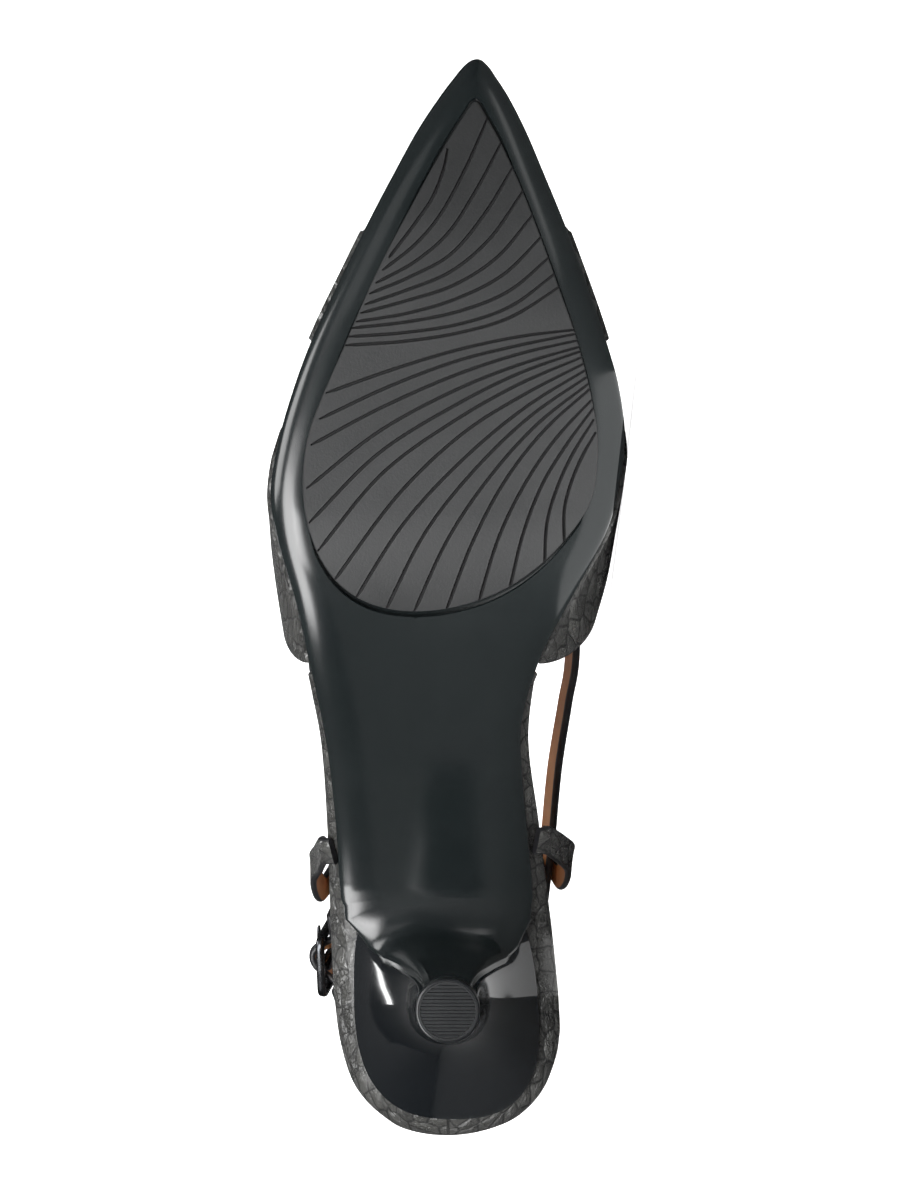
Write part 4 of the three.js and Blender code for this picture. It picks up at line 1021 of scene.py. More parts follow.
def footbed(materials):
    """The insole with its cupped seat: croc leather wrapped round its edge and a sock on top."""
    loop, out = footbed_loop()
    shape = np.stack([*SIDE_PROFILE.values(), np.zeros(4)], axis=1)
    side = smooth_path(shape, 16)[:, :2]
    spine_y = np.clip(loop[:, 1], 14, SHOE_LENGTH - 16)
    waist_lateral, waist_medial = sole_sides(np.maximum(spine_y, BREAST_TOP * SHOE_LENGTH))
    at_waist = ease(spine_y / (BREAST_TOP * SHOE_LENGTH))
    spine = np.stack([mix(1, (waist_lateral + waist_medial) / 2, at_waist), spine_y], axis=1)

    def ring(inset, lift, to_spine=0):
        y = loop[:, 1]
        plan = loop - out * inset(y)[:, None]
        plan = mix(plan, spine, to_spine)
        at = mix(y, spine_y, to_spine)
        return points(plan[:, 0], plan[:, 1], feather_height(plan[:, 1]) + CLEARANCE + lift(at))

    rows = [ring(lambda y: overhang(y), lambda y: 0 * y, 1)]
    for inset, lift in side:
        rows.append(ring(lambda y, k=inset: k * overhang(y), lambda y, k=lift: k * footbed_full(y)))
    wrapped = [(0.06, 0.97, 0), (0.32, 1.0, 0.0), (0.62, 1.0, 0.07), (1, 1, 0.25)]
    for reach, full, cup in wrapped:
        rows.append(
            ring(
                lambda y, k=reach: mix(0.6, FOOTBED_RIM, open_share(y)) * k,
                lambda y, f=full, c=cup: f * footbed_full(y) - c * CUP_DEPTH * open_share(y),
            )
        )
    wrapped_rows = len(rows)
    for to_spine in np.linspace(0, 1, 14):
        dish = mix(0.32, 1, math.sin(to_spine * math.pi / 2) ** 0.7)
        rows.append(
            ring(
                lambda y: mix(0.62, FOOTBED_RIM + 0.15, open_share(y)),
                lambda y, d=dish: footbed_full(y) - (d * CUP_DEPTH + 0.05) * open_share(y),
                to_spine,
            )
        )
    grid = np.array(rows)
    count = grid.shape[1]
    faces = [tuple(f) for f in quads(len(rows), count, closed=True)]
    material = np.repeat([0, 1], [(wrapped_rows - 1) * count, (len(rows) - wrapped_rows) * count])
    uv = np.stack([*ring_distances(grid)], axis=-1).reshape(-1, 2)
    return mesh_piece(
        "footbed_wrap", grid.reshape(-1, 3), faces, materials, "croc_leather", "footbed",
        uv=uv, face_material=material, crease=45,
    )


def ring_distances(grid):
    """Distances up a grid of rings and along them, in centimetres."""
    up = np.linalg.norm(np.diff(grid, axis=0), axis=2)
    up = np.concatenate([np.zeros((1, grid.shape[1])), np.cumsum(up, axis=0)])
    widest = grid[int(np.argmax(np.ptp(grid[:, :, 0], axis=1)))]
    along = np.concatenate([[0], np.cumsum(np.linalg.norm(np.diff(widest, axis=0), axis=1))])
    return up / 10, np.broadcast_to(along, up.shape) / 10


# Straps

def strap_section(width, thickness, crown=0.12):
    """A strap's section as rows of (across, out) and what each of its edges is made of: 0 the
    outer leather, 1 the painted edge, 2 the lining."""
    h, t = width / 2, thickness / 2
    soft = 0.75 * t
    flats, bends = 9, 5
    flat = np.linspace(h - soft, soft - h, flats)
    bend = np.linspace(0, math.pi, bends + 2)[1:-1]
    outer = [(a, t + crown * (1 - (a / h) ** 2)) for a in flat]
    near = [(-(h - soft) - soft * math.sin(b), t * math.cos(b)) for b in bend]
    inner = [(-a, -t) for a in flat]
    far = [((h - soft) + soft * math.sin(b), -t * math.cos(b)) for b in bend]
    kinds = [0] * (flats - 1) + [1] * (bends + 1) + [2] * (flats - 1) + [1] * (bends + 1)
    return np.array(outer + near + inner + far), kinds


def ribbon(centres, wide, section, outward=1, thin=None):
    """Rings of a strap along its centre line; wide holds the direction of its width."""
    ways = directions(centres)
    w = unit(wide - ways * dot(wide, ways))
    out = outward * unit(np.cross(ways, w))
    thin = np.ones(len(centres)) if thin is None else thin
    across, raised = section.T
    rise = thin[:, None] * raised[None, :]
    return centres[:, None] + w[:, None] * across[None, :, None] + out[:, None] * rise[..., None]


def strap_piece(name, node, centres, wide, width, thickness, materials, outward=1, thin=None):
    section, kinds = strap_section(width, thickness)
    rings = ribbon(centres, wide, section, outward, thin)
    verts, faces = loft(rings)
    count = len(section)
    material = kinds * (len(rings) - 1) + [1] * (2 * count)
    length = np.concatenate([[0], np.cumsum(np.linalg.norm(np.diff(centres, axis=0), axis=1))])
    uv = np.stack(np.broadcast_arrays(section[None, :, 0], length[:, None]), axis=-1).reshape(-1, 2)
    uv = np.vstack([uv, uv[:1], uv[-1:]]) / 10
    return mesh_piece(
        name, verts, faces, materials, "croc_leather", node, uv=uv, face_material=material, crease=50
    )


def route(rows):
    y = rows["at"] * SHOE_LENGTH
    return points(rows["across"] * BALL_HALF_WIDTH, y, feather_height(y) + rows["up"] * SLING_HEIGHT)


def tuck_points(name):
    """Where a strap is tucked inside the upper, just under the corner of its opening."""
    past_corner, slack = 0.012, 0.6
    across = 0.5 + (1 if name == "lateral" else -1) * (CORNER_SHARE / 2 + past_corner)
    depth = UPPER_WALL + CLEARANCE + STRAP_THICKNESS / 2 + slack
    y = VAMP_CORNER[name] * SHOE_LENGTH + np.array([STRAP_TUCK, STRAP_TUCK * 0.45, -1.5])
    return upper_offset(y, np.full(3, across), np.full(3, -depth))


def strap_widths(centres):
    """The strap's width points up and leans towards the leg."""
    ways = directions(centres)
    inward = points(-centres[:, 0], 45 - centres[:, 1], 0)
    inward -= ways * dot(inward, ways)
    inward[:, 2] = 0
    return np.array([0, 0, 1.0]) + unit(inward) * math.tan(STRAP_LEAN)


BUCKLE_CENTRE = route(BUCKLE_PLACE)[0]
BUCKLE_ALONG = unit(np.array([0.03, 1, -0.42]))
BUCKLE_UP = unit(np.array([-math.tan(STRAP_LEAN), 0, 1]) + 0.42 * BUCKLE_ALONG)
BUCKLE_OUT = unit(np.cross(BUCKLE_ALONG, BUCKLE_UP))
HALF_FRAME = (BUCKLE_LENGTH - BUCKLE_BAR) / 2
UNDER_FRAME = -BUCKLE_THICKNESS / 2 - 1.5 * CLEARANCE - STRAP_THICKNESS / 2
BAR_OUT = -0.6
FOLD_OUT = BAR_OUT + CENTRE_BAR / 2 + CLEARANCE + FOLD_THICKNESS / 2
HUMP_OUT = FOLD_OUT + FOLD_THICKNESS / 2 + CLEARANCE + STRAP_THICKNESS / 2 + 0.18


def at_buckle(along, out, up=0):
    return BUCKLE_CENTRE + BUCKLE_ALONG * along + BUCKLE_OUT * out + BUCKLE_UP * up


def sling_path():
    """From the medial side round the heel, under the frame and over its centre bar."""
    spots = [
        tuck_points("medial")[0],
        *route(MEDIAL_ROUTE),
        *route(LATERAL_ROUTE),
        at_buckle(-HALF_FRAME - 2, UNDER_FRAME - 0.3),
        at_buckle(-HALF_FRAME + BUCKLE_BAR * 0.6, UNDER_FRAME - 0.15),
        at_buckle(-1.7, HUMP_OUT - 0.05),
        at_buckle(1.5, HUMP_OUT - 0.05),
        at_buckle(HALF_FRAME - BUCKLE_BAR * 0.6, UNDER_FRAME - 0.15),
        at_buckle(HALF_FRAME + 2, UNDER_FRAME),
        at_buckle(HALF_FRAME + TAIL_LENGTH, UNDER_FRAME + 0.5),
    ]
    return smooth_path(spots, 420)


def front_path():
    """From the lateral side, under the frame and the long strap's end, and round the centre bar."""
    inside = BAR_OUT - CENTRE_BAR / 2 - CLEARANCE - STRAP_THICKNESS / 2
    lower = UNDER_FRAME - STRAP_THICKNESS - CLEARANCE
    turn = CENTRE_BAR_WIDTH / 2 + CLEARANCE + FOLD_THICKNESS / 2
    spots = [
        *tuck_points("lateral"),
        *route(FRONT_ROUTE),
        at_buckle(HALF_FRAME + TAIL_LENGTH + 3, lower + 1),
        at_buckle(HALF_FRAME + TAIL_LENGTH, lower + 0.3),
        at_buckle(HALF_FRAME, lower - 0.1),
        at_buckle(HALF_FRAME * 0.5, lower + 0.2),
        at_buckle(1, inside - 0.1),
        at_buckle(-turn * 0.8, inside + 0.7),
        at_buckle(-turn, BAR_OUT),
        at_buckle(-turn * 0.6, FOLD_OUT - 0.15),
        at_buckle(0.3, FOLD_OUT),
    ]
    return smooth_path(spots, 300)


def sling(path, materials):
    wide = strap_widths(path)
    return strap_piece("sling", "sling_strap", path, wide, STRAP_WIDTH, STRAP_THICKNESS, materials)


def front_strap(path, materials):
    """It thins where it folds round the bar, and lies level with the frame from just before that."""
    rows = len(path)
    fold, soft, before_fold = int(0.0959 * rows), 0.0411 * rows, 0.0548 * rows
    index = np.arange(rows)
    thin = mix(1, FOLD_THICKNESS / STRAP_THICKNESS, ease((index - rows + 1 + fold) / soft))
    level_from = int(rows - fold - before_fold)
    free = ease((level_from - index) / soft)[:, None]
    wide = mix(np.tile(BUCKLE_UP, (rows, 1)), strap_widths(path), free)
    return strap_piece(
        "front_sling", "front_strap", path, wide, STRAP_WIDTH, STRAP_THICKNESS, materials,
        outward=-1, thin=thin,
    )


def strap_at(path, y, lateral):
    """The strap's place and direction at a length along the shoe, on one side."""
    on_side = (path[:, 0] > 0) == lateral
    on_side[[0, -1]] = False
    away = np.where(on_side, np.abs(path[:, 1] - y), np.inf)
    best = int(np.argmin(away))
    way = unit(path[best + 1] - path[best - 1])
    way = way if way[1] > 0 else -way
    return path[best] + way * (y - path[best, 1]) / way[1], way


def side_tab(name, path, materials):
    """It rises from the edge of the footbed, bows round the foot and turns over the strap."""
    sign = 1 if name == "lateral" else -1
    place, along = strap_at(path, TAB_HEAD[name] * SHOE_LENGTH, name == "lateral")
    up = np.array([-sign * math.tan(STRAP_LEAN), 0, 1])
    up = unit(up - along * np.dot(up, along))
    out = np.array([sign, 0, 0]) - sign * along[0] * along
    out = unit(out - up * np.dot(out, up))
    reach = (STRAP_THICKNESS + TAB_THICKNESS) / 2 + CLEARANCE
    top = (STRAP_WIDTH + TAB_THICKNESS) / 2 + CLEARANCE
    foot_y = TAB_FOOT[name] * SHOE_LENGTH

    def edge(y):
        return float(BALL_HALF_WIDTH * column(FOOTBED_OUTLINE, name, y / SHOE_LENGTH, to_heel))

    slack = 0.3
    away = CLEARANCE + TAB_THICKNESS / 2 + slack
    foot = float(feather_height(foot_y)) + CLEARANCE

    def side(x, height, y):
        return np.array([sign * (edge(foot_y) + x), y, foot + height])

    inset, lift = SIDE_PROFILE["inset"] * overhang(foot_y), SIDE_PROFILE["lift"] * footbed_full(foot_y)
    profile = np.stack([-inset, lift], axis=1)
    spots = []
    for k in (0.4, 1, 2, 3):
        i = min(2, int(k))
        run = profile[i + 1] - profile[i]
        x, height = profile[i] + run * (k - i) + away * unit(np.array([run[1], -run[0]]))
        spots.append(side(x, height, foot_y))
    bow = TAB_BOW[name]
    spots += [side(0.62 * bow, 13, foot_y - 2.5), side(bow, 21, foot_y - 5.5)]
    turned = [
        (reach + 0.5, -STRAP_WIDTH * 0.6),
        (reach, 0),
        (reach, top - 1.2),
        (reach * 0.6, top),
        (-reach * 0.6, top),
        (-reach, top - 1.2),
        (-reach, 0),
        (-reach, -TAB_TAIL),
    ]
    spots += [place + out * a + up * b for a, b in turned]
    path = smooth_path(spots, 200)
    near, turned_by = 3, 80
    lean_out = (edge(foot_y + near) - edge(foot_y - near)) / (2 * near)
    lean_up = float(feather_height(foot_y + near) - feather_height(foot_y - near)) / (2 * near)
    level = unit(np.array([sign * lean_out, 1, lean_up]))
    wide = mix(level, along, ease(np.arange(len(path)) / turned_by)[:, None])
    return strap_piece(
        f"{name}_side_tab", f"{name}_tab", path, wide, TAB_WIDTH, TAB_THICKNESS, materials,
        outward=-sign,
    )


# Buckle

def rounded_loop(length, width, radius, steps=10):
    a, b = length / 2 - radius, width / 2 - radius
    turn = np.linspace(0, math.pi / 2, steps + 1)
    corners = [(a, b, 0), (-a, b, 1), (-a, -b, 2), (a, -b, 3)]
    return np.array(
        [
            (x + radius * math.cos(t + k * math.pi / 2), y + radius * math.sin(t + k * math.pi / 2))
            for x, y, k in corners
            for t in turn
        ]
    )


def bar_section(middle, way, width, thickness, out):
    """A rounded oblong section across a bar of the buckle."""
    turn, squareness = np.linspace(0, 2 * math.pi, 24, endpoint=False), 0.6
    side = width / 2 * np.sign(np.cos(turn)) * np.abs(np.cos(turn)) ** squareness
    rise = thickness / 2 * np.sign(np.sin(turn)) * np.abs(np.sin(turn)) ** squareness
    spots = [(middle[0] + way[1] * s, out + r, middle[1] - way[0] * s) for s, r in zip(side, rise)]
    return np.array([at_buckle(*spot) for spot in spots])


def buckle_frame(materials):
    corner_round, polished = 2.2, 0.96
    loop = rounded_loop(BUCKLE_LENGTH - BUCKLE_BAR, BUCKLE_WIDTH - BUCKLE_BAR, corner_round)
    ways = unit(np.roll(loop, -1, axis=0) - np.roll(loop, 1, axis=0))
    width, thickness = BUCKLE_BAR * polished, BUCKLE_THICKNESS * polished
    rings = np.array([bar_section(p, w, width, thickness, 0) for p, w in zip(loop, ways)])
    rings = np.concatenate([rings, rings[:1]])
    frame_part = (rings.reshape(-1, 3), [tuple(f) for f in quads(*rings.shape[:2], closed=True)])
    reach = (BUCKLE_WIDTH - BUCKLE_BAR) / 2
    bar_size = (CENTRE_BAR_WIDTH, CENTRE_BAR, BAR_OUT)
    bar = loft([bar_section((0, y), (0, 1), *bar_size) for y in (-reach, 0, reach)])
    verts, faces = join([frame_part, bar])
    return mesh_piece("buckle_frame", verts, faces, materials, "gunmetal", "buckle", crease=50)


def buckle_pin(materials):
    """The prong, a round pin from over the centre bar to the front of the frame."""
    lift = BUCKLE_THICKNESS / 2 + CLEARANCE + PRONG_THICKNESS / 2
    start = at_buckle(0.4, FOLD_OUT + FOLD_THICKNESS / 2 + CLEARANCE + PRONG_THICKNESS / 2 + 0.5)
    end = at_buckle(HALF_FRAME + 1.2, lift + 0.1)
    turn = np.linspace(0, 2 * math.pi, 20, endpoint=False)
    rings = []
    for t in np.linspace(0, 1, 24):
        tip = math.sqrt(max(0, 1 - (2 * t - 1) ** 8))
        side = PRONG_WIDTH / 2 * tip * np.cos(turn)
        rise = PRONG_THICKNESS / 2 * tip * np.sin(turn)
        middle = mix(start, end, t)
        rings.append(middle + side[:, None] * BUCKLE_UP + rise[:, None] * BUCKLE_OUT)
    verts, faces = loft(rings)
    return mesh_piece("buckle_pin", verts, faces, materials, "gunmetal", "buckle_prong", crease=50)


# Materials

def node_group(name, inputs, outputs):
    """An empty shader group with its sockets; inputs maps names to (kind, default)."""
    group = bpy.data.node_groups.new(name, "ShaderNodeTree")
    for title, (kind, default) in inputs.items():
        socket = group.interface.new_socket(title, in_out="INPUT", socket_type=kind)
        if default is not None:
            socket.default_value = default
    for title, kind in outputs.items():
        group.interface.new_socket(title, in_out="OUTPUT", socket_type=kind)
    return group, group.nodes.new("NodeGroupInput"), group.nodes.new("NodeGroupOutput")


def feed(tree, socket, value):
    """A socket takes a value or another node's output."""
    if isinstance(value, bpy.types.NodeSocket):
        tree.links.new(value, socket)
    else:
        socket.default_value = value


def input_key(word):
    """An input's number from a word such as i0, or else its name, with _ for a space."""
    return int(word[1:]) if word[0] == "i" and word[1:].isdigit() else word.replace("_", " ")


def node(tree, kind, settings=None, **sockets):
    """A node with its settings and what its sockets take."""
    made = tree.nodes.new(kind)
    for key, value in (settings or {}).items():
        setattr(made, key, value)
    for word, value in sockets.items():
        feed(tree, made.inputs[input_key(word)], value)
    return made


def arithmetic(tree, operation, a, b=0.0, clamp=False):
    made = node(tree, "ShaderNodeMath", {"operation": operation, "use_clamp": clamp}, i0=a, i1=b)
    return made.outputs[0]


def spread(tree, value, low, high, to_low=0.0, to_high=1.0):
    """A value from one range on to another, with soft ends."""
    made = node(
        tree, "ShaderNodeMapRange", {"interpolation_type": "SMOOTHSTEP"},
        Value=value, From_Min=low, From_Max=high, To_Min=to_low, To_Max=to_high,
    )
    return made.outputs[0]


def blend_colour(tree, share, a, b):
    first, second = ((*v, 1) if isinstance(v, tuple) else v for v in (a, b))
    return node(tree, "ShaderNodeMix", {"data_type": "RGBA"}, i0=share, i6=first, i7=second).outputs[2]


def croc_group():
    """Crocodile embossing over a UV map in centimetres: plates with creases between them, finer
    cracks in each plate and lines along it."""
    group, entry, exit_ = node_group(
        "crocodile embossing",
        {
            "Place": ("NodeSocketVector", None),
            "Scale": ("NodeSocketFloat", 3.0),
            "Stretch": ("NodeSocketFloat", 0.62),
        },
        {"Height": "NodeSocketFloat", "Crease": "NodeSocketFloat", "Plate Tone": "NodeSocketFloat"},
    )
    stretch = node(group, "ShaderNodeCombineXYZ", X=1.0, Y=entry.outputs["Stretch"], Z=1.0)
    warp = node(group, "ShaderNodeTexNoise", None, Vector=entry.outputs["Place"], Scale=2.2, Detail=2.0)
    offset = node(group, "ShaderNodeVectorMath", {"operation": "SCALE"}, i0=warp.outputs["Color"], Scale=0.3)
    moved = node(
        group, "ShaderNodeVectorMath", {"operation": "ADD"}, i0=entry.outputs["Place"], i1=offset.outputs[0]
    )
    place = node(
        group, "ShaderNodeVectorMath", {"operation": "MULTIPLY"}, i0=moved.outputs[0], i1=stretch.outputs[0]
    ).outputs[0]
    plates = {"voronoi_dimensions": "2D"}
    edge_only = {"feature": "DISTANCE_TO_EDGE", "voronoi_dimensions": "2D"}
    scale = entry.outputs["Scale"]
    edge = node(group, "ShaderNodeTexVoronoi", edge_only, Vector=place, Scale=scale, Randomness=0.8)
    cells = node(group, "ShaderNodeTexVoronoi", plates, Vector=place, Scale=scale, Randomness=0.8)
    finer = arithmetic(group, "MULTIPLY", scale, 2.7)
    cracks = node(group, "ShaderNodeTexVoronoi", edge_only, Vector=place, Scale=finer)
    crease = spread(group, edge.outputs["Distance"], 0.0, 0.1, 1.0, 0.0)
    fine_crack = spread(group, cracks.outputs["Distance"], 0.0, 0.07, 0.55, 0.0)
    faded = arithmetic(group, "MULTIPLY", fine_crack, spread(group, warp.outputs["Fac"], 0.4, 0.6))
    dome = spread(group, edge.outputs["Distance"], 0.0, 0.4)
    along = node(group, "ShaderNodeVectorMath", {"operation": "MULTIPLY"}, i0=moved.outputs[0], i1=(1, 0.3, 1))
    fine = node(group, "ShaderNodeTexNoise", None, Vector=along.outputs[0], Scale=18.0, Detail=3.0)
    lines = arithmetic(group, "MULTIPLY", spread(group, fine.outputs["Fac"], 0.4, 0.55), 0.22)
    height = arithmetic(group, "SUBTRACT", arithmetic(group, "ADD", dome, lines), faded)
    tone = node(group, "ShaderNodeSeparateColor", None, Color=cells.outputs["Color"]).outputs[0]
    group.links.new(height, exit_.inputs["Height"])
    # Crease also darkens the leather's colour in croc_leather, as painted shade in the creases, and makes it
    # rougher.
    group.links.new(arithmetic(group, "MAXIMUM", crease, faded), exit_.inputs["Crease"])
    group.links.new(tone, exit_.inputs["Plate Tone"])
    return group


def handling_group():
    """Cloudy handling marks and fine dust, over the object's own coordinates."""
    group, entry, exit_ = node_group(
        "handling marks",
        {"Place": ("NodeSocketVector", None), "Scale": ("NodeSocketFloat", 30.0)},
        {"Cloud": "NodeSocketFloat", "Speck": "NodeSocketFloat", "Grain": "NodeSocketFloat"},
    )
    cloud = node(
        group, "ShaderNodeTexNoise", None,
        Vector=entry.outputs["Place"], Scale=entry.outputs["Scale"], Detail=4.0, Roughness=0.6,
    )
    grain = node(group, "ShaderNodeTexNoise", None, Vector=entry.outputs["Place"], Scale=1800.0, Detail=3.0)
    speck = node(group, "ShaderNodeTexVoronoi", None, Vector=entry.outputs["Place"], Scale=420.0)
    group.links.new(spread(group, cloud.outputs["Fac"], 0.35, 0.7), exit_.inputs["Cloud"])
    group.links.new(spread(group, speck.outputs["Distance"], 0.03, 0.09, 1.0, 0.0), exit_.inputs["Speck"])
    group.links.new(grain.outputs["Fac"], exit_.inputs["Grain"])
    return group


def new_material(name):
    material = bpy.data.materials.new(name)
    material.use_nodes = True
    tree = material.node_tree
    shader = tree.nodes["Principled BSDF"]
    return material, tree, shader


def place_group(tree, group, **sockets):
    return node(tree, "ShaderNodeGroup", {"node_tree": group}, **sockets).outputs


def on_leather(tree):
    return node(tree, "ShaderNodeUVMap", {"uv_map": "leather"}).outputs[0]


def on_object(tree):
    return node(tree, "ShaderNodeTexCoord").outputs["Object"]


def bump(tree, shader, height, strength, distance):
    made = node(tree, "ShaderNodeBump", None, Height=height, Strength=strength, Distance=distance)
    tree.links.new(made.outputs[0], shader.inputs["Normal"])


def croc_leather(name, croc, marks, coat):
    material, tree, shader = new_material(name)
    plates = place_group(tree, croc, Place=on_leather(tree), Scale=3.0, Stretch=0.62)
    worn = place_group(tree, marks, Place=on_object(tree), Scale=60.0)
    tone = blend_colour(tree, plates["Plate Tone"], (0.022, 0.022, 0.021), (0.05, 0.05, 0.047))
    # The creases and fine cracks are darkened almost to black: painted shade in the creases.
    feed(tree, shader.inputs["Base Color"], blend_colour(tree, plates["Crease"], tone, (0.004, 0.004, 0.004)))
    rough = arithmetic(tree, "MULTIPLY", plates["Crease"], 0.3)
    rough = arithmetic(tree, "ADD", rough, spread(tree, worn["Cloud"], 0.0, 1.0, 0.24, 0.38))
    feed(tree, shader.inputs["Roughness"], rough)
    shader.inputs["Coat Weight"].default_value = coat
    shader.inputs["Coat Roughness"].default_value = 0.15
    bump(tree, shader, plates["Height"], 0.8, 0.0005)
    return material


def clouded(name, marks, scale, dark, light):
    """A material whose colour drifts between two tones, with its tree, shader and handling marks."""
    material, tree, shader = new_material(name)
    worn = place_group(tree, marks, Place=on_object(tree), Scale=scale)
    feed(tree, shader.inputs["Base Color"], blend_colour(tree, worn["Cloud"], dark, light))
    return material, tree, shader, worn


def tan_lining(marks):
    dark, light = (0.3, 0.12, 0.042), (0.38, 0.17, 0.065)
    material, tree, shader, worn = clouded("tan_lining", marks, 90.0, dark, light)
    shader.inputs["Roughness"].default_value = 0.55
    bump(tree, shader, worn["Grain"], 0.25, 0.0002)
    return material


def edge_paint(marks):
    dark, light = (0.006, 0.006, 0.007), (0.014, 0.014, 0.015)
    material, tree, shader, worn = clouded("edge_paint", marks, 200.0, dark, light)
    shader.inputs["Roughness"].default_value = 0.35
    bump(tree, shader, worn["Grain"], 0.2, 0.0001)
    return material


def moulded(name, marks, *, dark, light, rough, rough_spread, grain, coat=0.0):
    """Moulded rubber or plastic, with faint handling marks in its gloss."""
    material, tree, shader, worn = clouded(name, marks, 22.0, dark, light)
    dusty = arithmetic(tree, "MULTIPLY", worn["Speck"], 0.06)
    gloss = spread(tree, worn["Cloud"], 0.0, 1.0, rough, rough + rough_spread)
    feed(tree, shader.inputs["Roughness"], arithmetic(tree, "ADD", gloss, dusty))
    shader.inputs["Coat Weight"].default_value = coat
    shader.inputs["Coat Roughness"].default_value = 0.04
    bump(tree, shader, worn["Grain"], grain, 0.0001)
    return material


def dark_metal(marks):
    dark, light = (0.05, 0.052, 0.056), (0.075, 0.077, 0.08)
    material, tree, shader, worn = clouded("gunmetal", marks, 300.0, dark, light)
    shader.inputs["Metallic"].default_value = 1.0
    feed(tree, shader.inputs["Roughness"], spread(tree, worn["Cloud"], 0.0, 1.0, 0.2, 0.32))
    return material


# The shoe

croc = croc_group()
marks = handling_group()
leather = croc_leather("croc_leather", croc, marks, 0.25)
strap_leather = croc_leather("strap_leather", croc, marks, 0.9)
lining = tan_lining(marks)
paint = edge_paint(marks)
sole_rubber = moulded(
    "sole_rubber", marks, dark=(0.005, 0.007, 0.0074), light=(0.007, 0.0092, 0.0096),
    rough=0.17, rough_spread=0.04, grain=0.02,
)
tread_rubber = moulded(
    "tread_rubber", marks, dark=(0.0065, 0.007, 0.0074), light=(0.0095, 0.01, 0.0105),
    rough=0.42, rough_spread=0.08, grain=0.35,
)
heel_gloss = moulded(
    "heel_gloss", marks, dark=(0.0025, 0.0035, 0.0045), light=(0.004, 0.005, 0.006),
    rough=0.06, rough_spread=0.04, grain=0.0, coat=0.2,
)
# Near-black colour for the groove walls: painted shade in the grooves, not a rubber of their own.
groove_painted_shade = moulded(
    "groove_painted_shade", marks, dark=(0.002, 0.002, 0.0025), light=(0.003, 0.003, 0.0035),
    rough=0.8, rough_spread=0.1, grain=0.2,
)
lift_rubber = moulded(
    "lift_rubber", marks, dark=(0.002, 0.003, 0.004), light=(0.004, 0.005, 0.006),
    rough=0.32, rough_spread=0.06, grain=0.1,
)
gunmetal = dark_metal(marks)
strap_leathers = [strap_leather, paint, lining]

sole_shell([sole_rubber])
tread_panel([tread_rubber, groove_painted_shade])
heel_block([heel_gloss])
heel_lift([lift_rubber])
vamp([leather, paint, lining])
footbed([leather, lining])
sling_line = sling_path()
front_line = front_path()
sling(sling_line, strap_leathers)
front_strap(front_line, strap_leathers)
side_tab("medial", sling_line, strap_leathers)
side_tab("lateral", front_line, strap_leathers)
buckle_frame([gunmetal])
buckle_pin([gunmetal])


# Floor, backdrop, light and camera

def stage_sheet(name, corners, colour, glow, in_gloss):
    """A plain pale sheet. It glows a little to the camera, and glossy surfaces see in_gloss of it."""
    mesh = bpy.data.meshes.new(name)
    mesh.from_pydata(corners, [], [tuple(range(len(corners)))])
    sheet = bpy.data.objects.new(name, mesh)
    bpy.context.scene.collection.objects.link(sheet)
    material, tree, shader = new_material(name)
    shader.inputs["Base Color"].default_value = (*colour, 1)
    shader.inputs["Roughness"].default_value = 0.9
    shader.inputs["Specular IOR Level"].default_value = 0.0
    shader.inputs["Emission Color"].default_value = (1, 1, 1, 1)
    rays = node(tree, "ShaderNodeLightPath")
    seen = arithmetic(tree, "MULTIPLY", rays.outputs["Is Camera Ray"], glow)
    tree.links.new(seen, shader.inputs["Emission Strength"])
    dark = node(tree, "ShaderNodeBsdfDiffuse", None, Color=(0.02, 0.02, 0.02, 1))
    share = arithmetic(tree, "MULTIPLY", rays.outputs["Is Glossy Ray"], 1 - in_gloss)
    mixed = node(tree, "ShaderNodeMixShader", None, i0=share, i1=shader.outputs[0], i2=dark.outputs[0])
    tree.links.new(mixed.outputs[0], tree.nodes["Material Output"].inputs["Surface"])
    mesh.materials.append(material)


def soft_light(name, place, target, size, power, in_gloss=True):
    """A rectangular light that faces its target; the camera doesn't see it."""
    lamp = bpy.data.lights.new(name, "AREA")
    lamp.shape = "RECTANGLE"
    lamp.size, lamp.size_y = size
    lamp.energy = power
    holder = bpy.data.objects.new(name, lamp)
    bpy.context.scene.collection.objects.link(holder)
    holder.location = place
    aim = Vector(target) - Vector(place)
    holder.rotation_euler = aim.to_track_quat("-Z", "Y").to_euler()
    holder.visible_camera = False
    holder.visible_glossy = in_gloss


def photo_camera():
    """Straight below the sole, toe up, as in the photograph."""
    distance, aim_y, lens, film, least_height = 900.0, 131.5, 116.6, 36.0, 0.008
    data = bpy.data.cameras.new("camera")
    data.lens = lens
    data.sensor_fit = "VERTICAL"
    data.sensor_height = film
    data.clip_start = 0.01
    holder = bpy.data.objects.new("camera", data)
    bpy.context.scene.collection.objects.link(holder)
    right, up, back = (TURN @ np.array(v, float) for v in ((-1, 0, 0), (0, 1, 0), (0, 0, -1)))
    matrix = np.eye(4)
    matrix[:3, :3] = np.array([right, up, back]).T
    matrix[:3, 3] = to_row((0, aim_y, -distance))
    matrix[2, 3] = max(matrix[2, 3], least_height)
    holder.matrix_world = Matrix(matrix.tolist())
    bpy.context.scene.camera = holder


def floor_card(place, size, power):
    """A light that lies on the floor and shines straight up, stronger towards its middle."""
    layers = (0.4, 0.55, 0.7, 0.85, 1)
    above = (*place[:2], 0.2)
    for share in layers:
        soft_light("floor_card", place, above, (size[0] * share, size[1] * share), power * share**2)


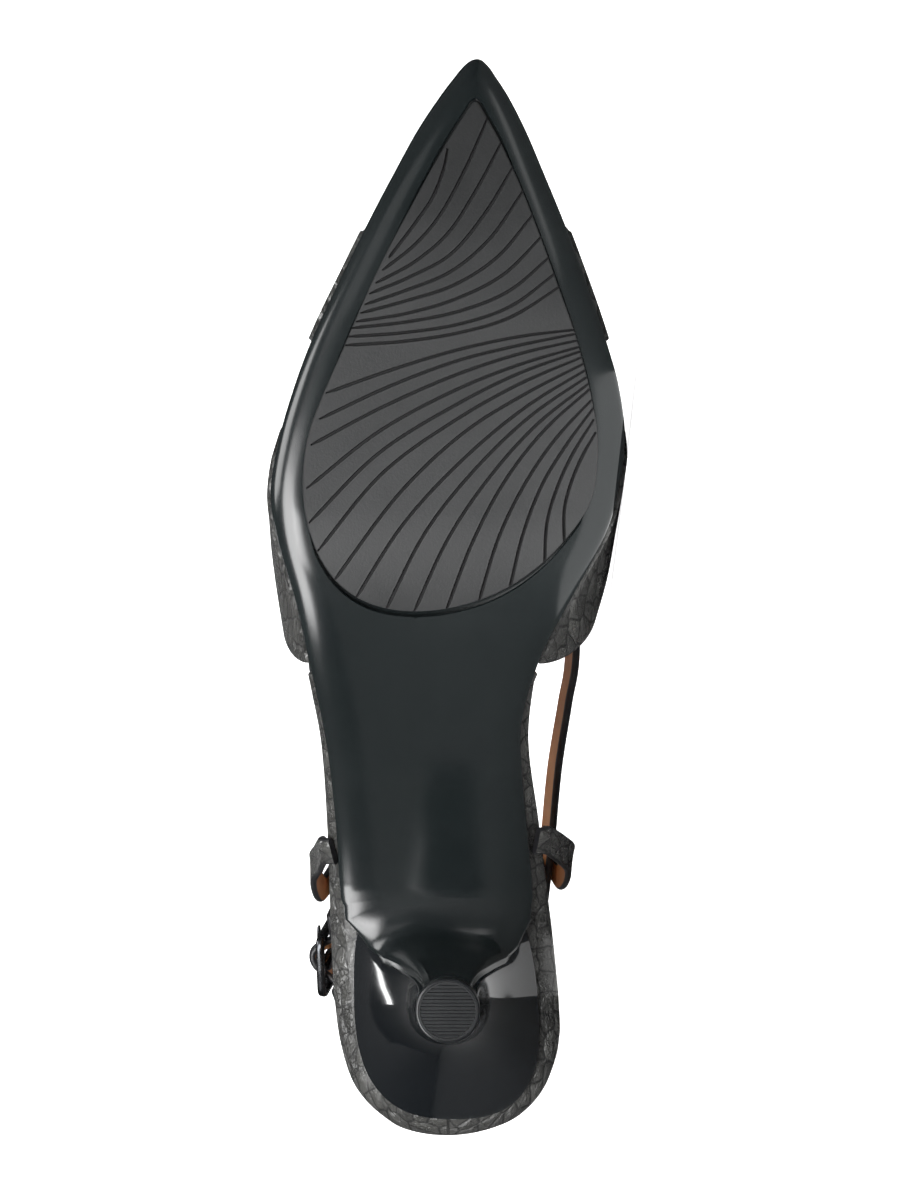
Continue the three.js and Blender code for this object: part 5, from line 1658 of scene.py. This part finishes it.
def studio_world():
    """Plain white surroundings, dim at the ground and brighter above."""
    dim, bright, bright_from = 0.06, 0.2, 0.8
    world = bpy.data.worlds.new("studio")
    world.use_nodes = True
    tree = world.node_tree
    height = node(tree, "ShaderNodeSeparateXYZ", None, i0=on_object(tree)).outputs[2]
    background = tree.nodes["Background"]
    background.inputs["Color"].default_value = (1, 1, 1, 1)
    feed(tree, background.inputs["Strength"], spread(tree, height, 0.0, bright_from, dim, bright))
    bpy.context.scene.world = world


FLOOR_HALF, BACKDROP_AT, BACKDROP_SIZE = 3.0, 0.9, 2
floor_corners = [(x * FLOOR_HALF, y * FLOOR_HALF, 0) for x, y in ((-1, -1), (1, -1), (1, 1), (-1, 1))]
backdrop_corners = [
    (x * BACKDROP_SIZE, BACKDROP_AT, z * BACKDROP_SIZE) for x, z in ((-1, 0), (1, 0), (1, 1), (-1, 1))
]
stage_sheet("floor", floor_corners, (0.86, 0.86, 0.86), glow=0.8, in_gloss=0.15)
stage_sheet("backdrop", backdrop_corners, (0.9, 0.9, 0.9), glow=1.0, in_gloss=0.15)

# Each light's place, the spot it faces, its width and height, all in metres, and its power in watts
LIGHTS = {
    "key": ((-0.4, -0.8, 0.5), (-0.02, 0, 0.03), (1.1, 0.34), 16),
    "low_key": ((-0.25, -0.85, 0.27), (0.0, 0, 0.03), (0.5, 0.13), 2.7),
    "toe_light": ((0.4, -0.8, 0.4), (0.1, 0, 0.03), (0.4, 0.3), 0.3),
    "flap_light": ((0.1, -0.38, 0.64), (-0.085, -0.012, 0.044), (0.3, 0.3), 2.4),
    "corner_light": ((-0.24, 0.4, 0.7), (-0.09, -0.01, 0.045), (0.022, 0.3), 0.25),
    "overhead": ((0.0, 0.1, 1.0), (0.0, 0, 0.0), (0.6, 0.6), 2.2),
    "toe_card": ((0.17, -0.16, 0.002), (0.17, -0.16, 0.2), (0.12, 0.08), 0.05),
    "heel_card": ((-0.084, 0.002, 0.001), (-0.084, 0.002, 0.2), (0.014, 0.01), 0.0004),
}
for light_name, settings in LIGHTS.items():
    soft_light(light_name, *settings, in_gloss=light_name != "overhead")
floor_card((0.026, -0.072, 0.002), (0.07, 0.056), 0.021)

studio_world()
bpy.context.scene.view_settings.view_transform = "Standard"
photo_camera()
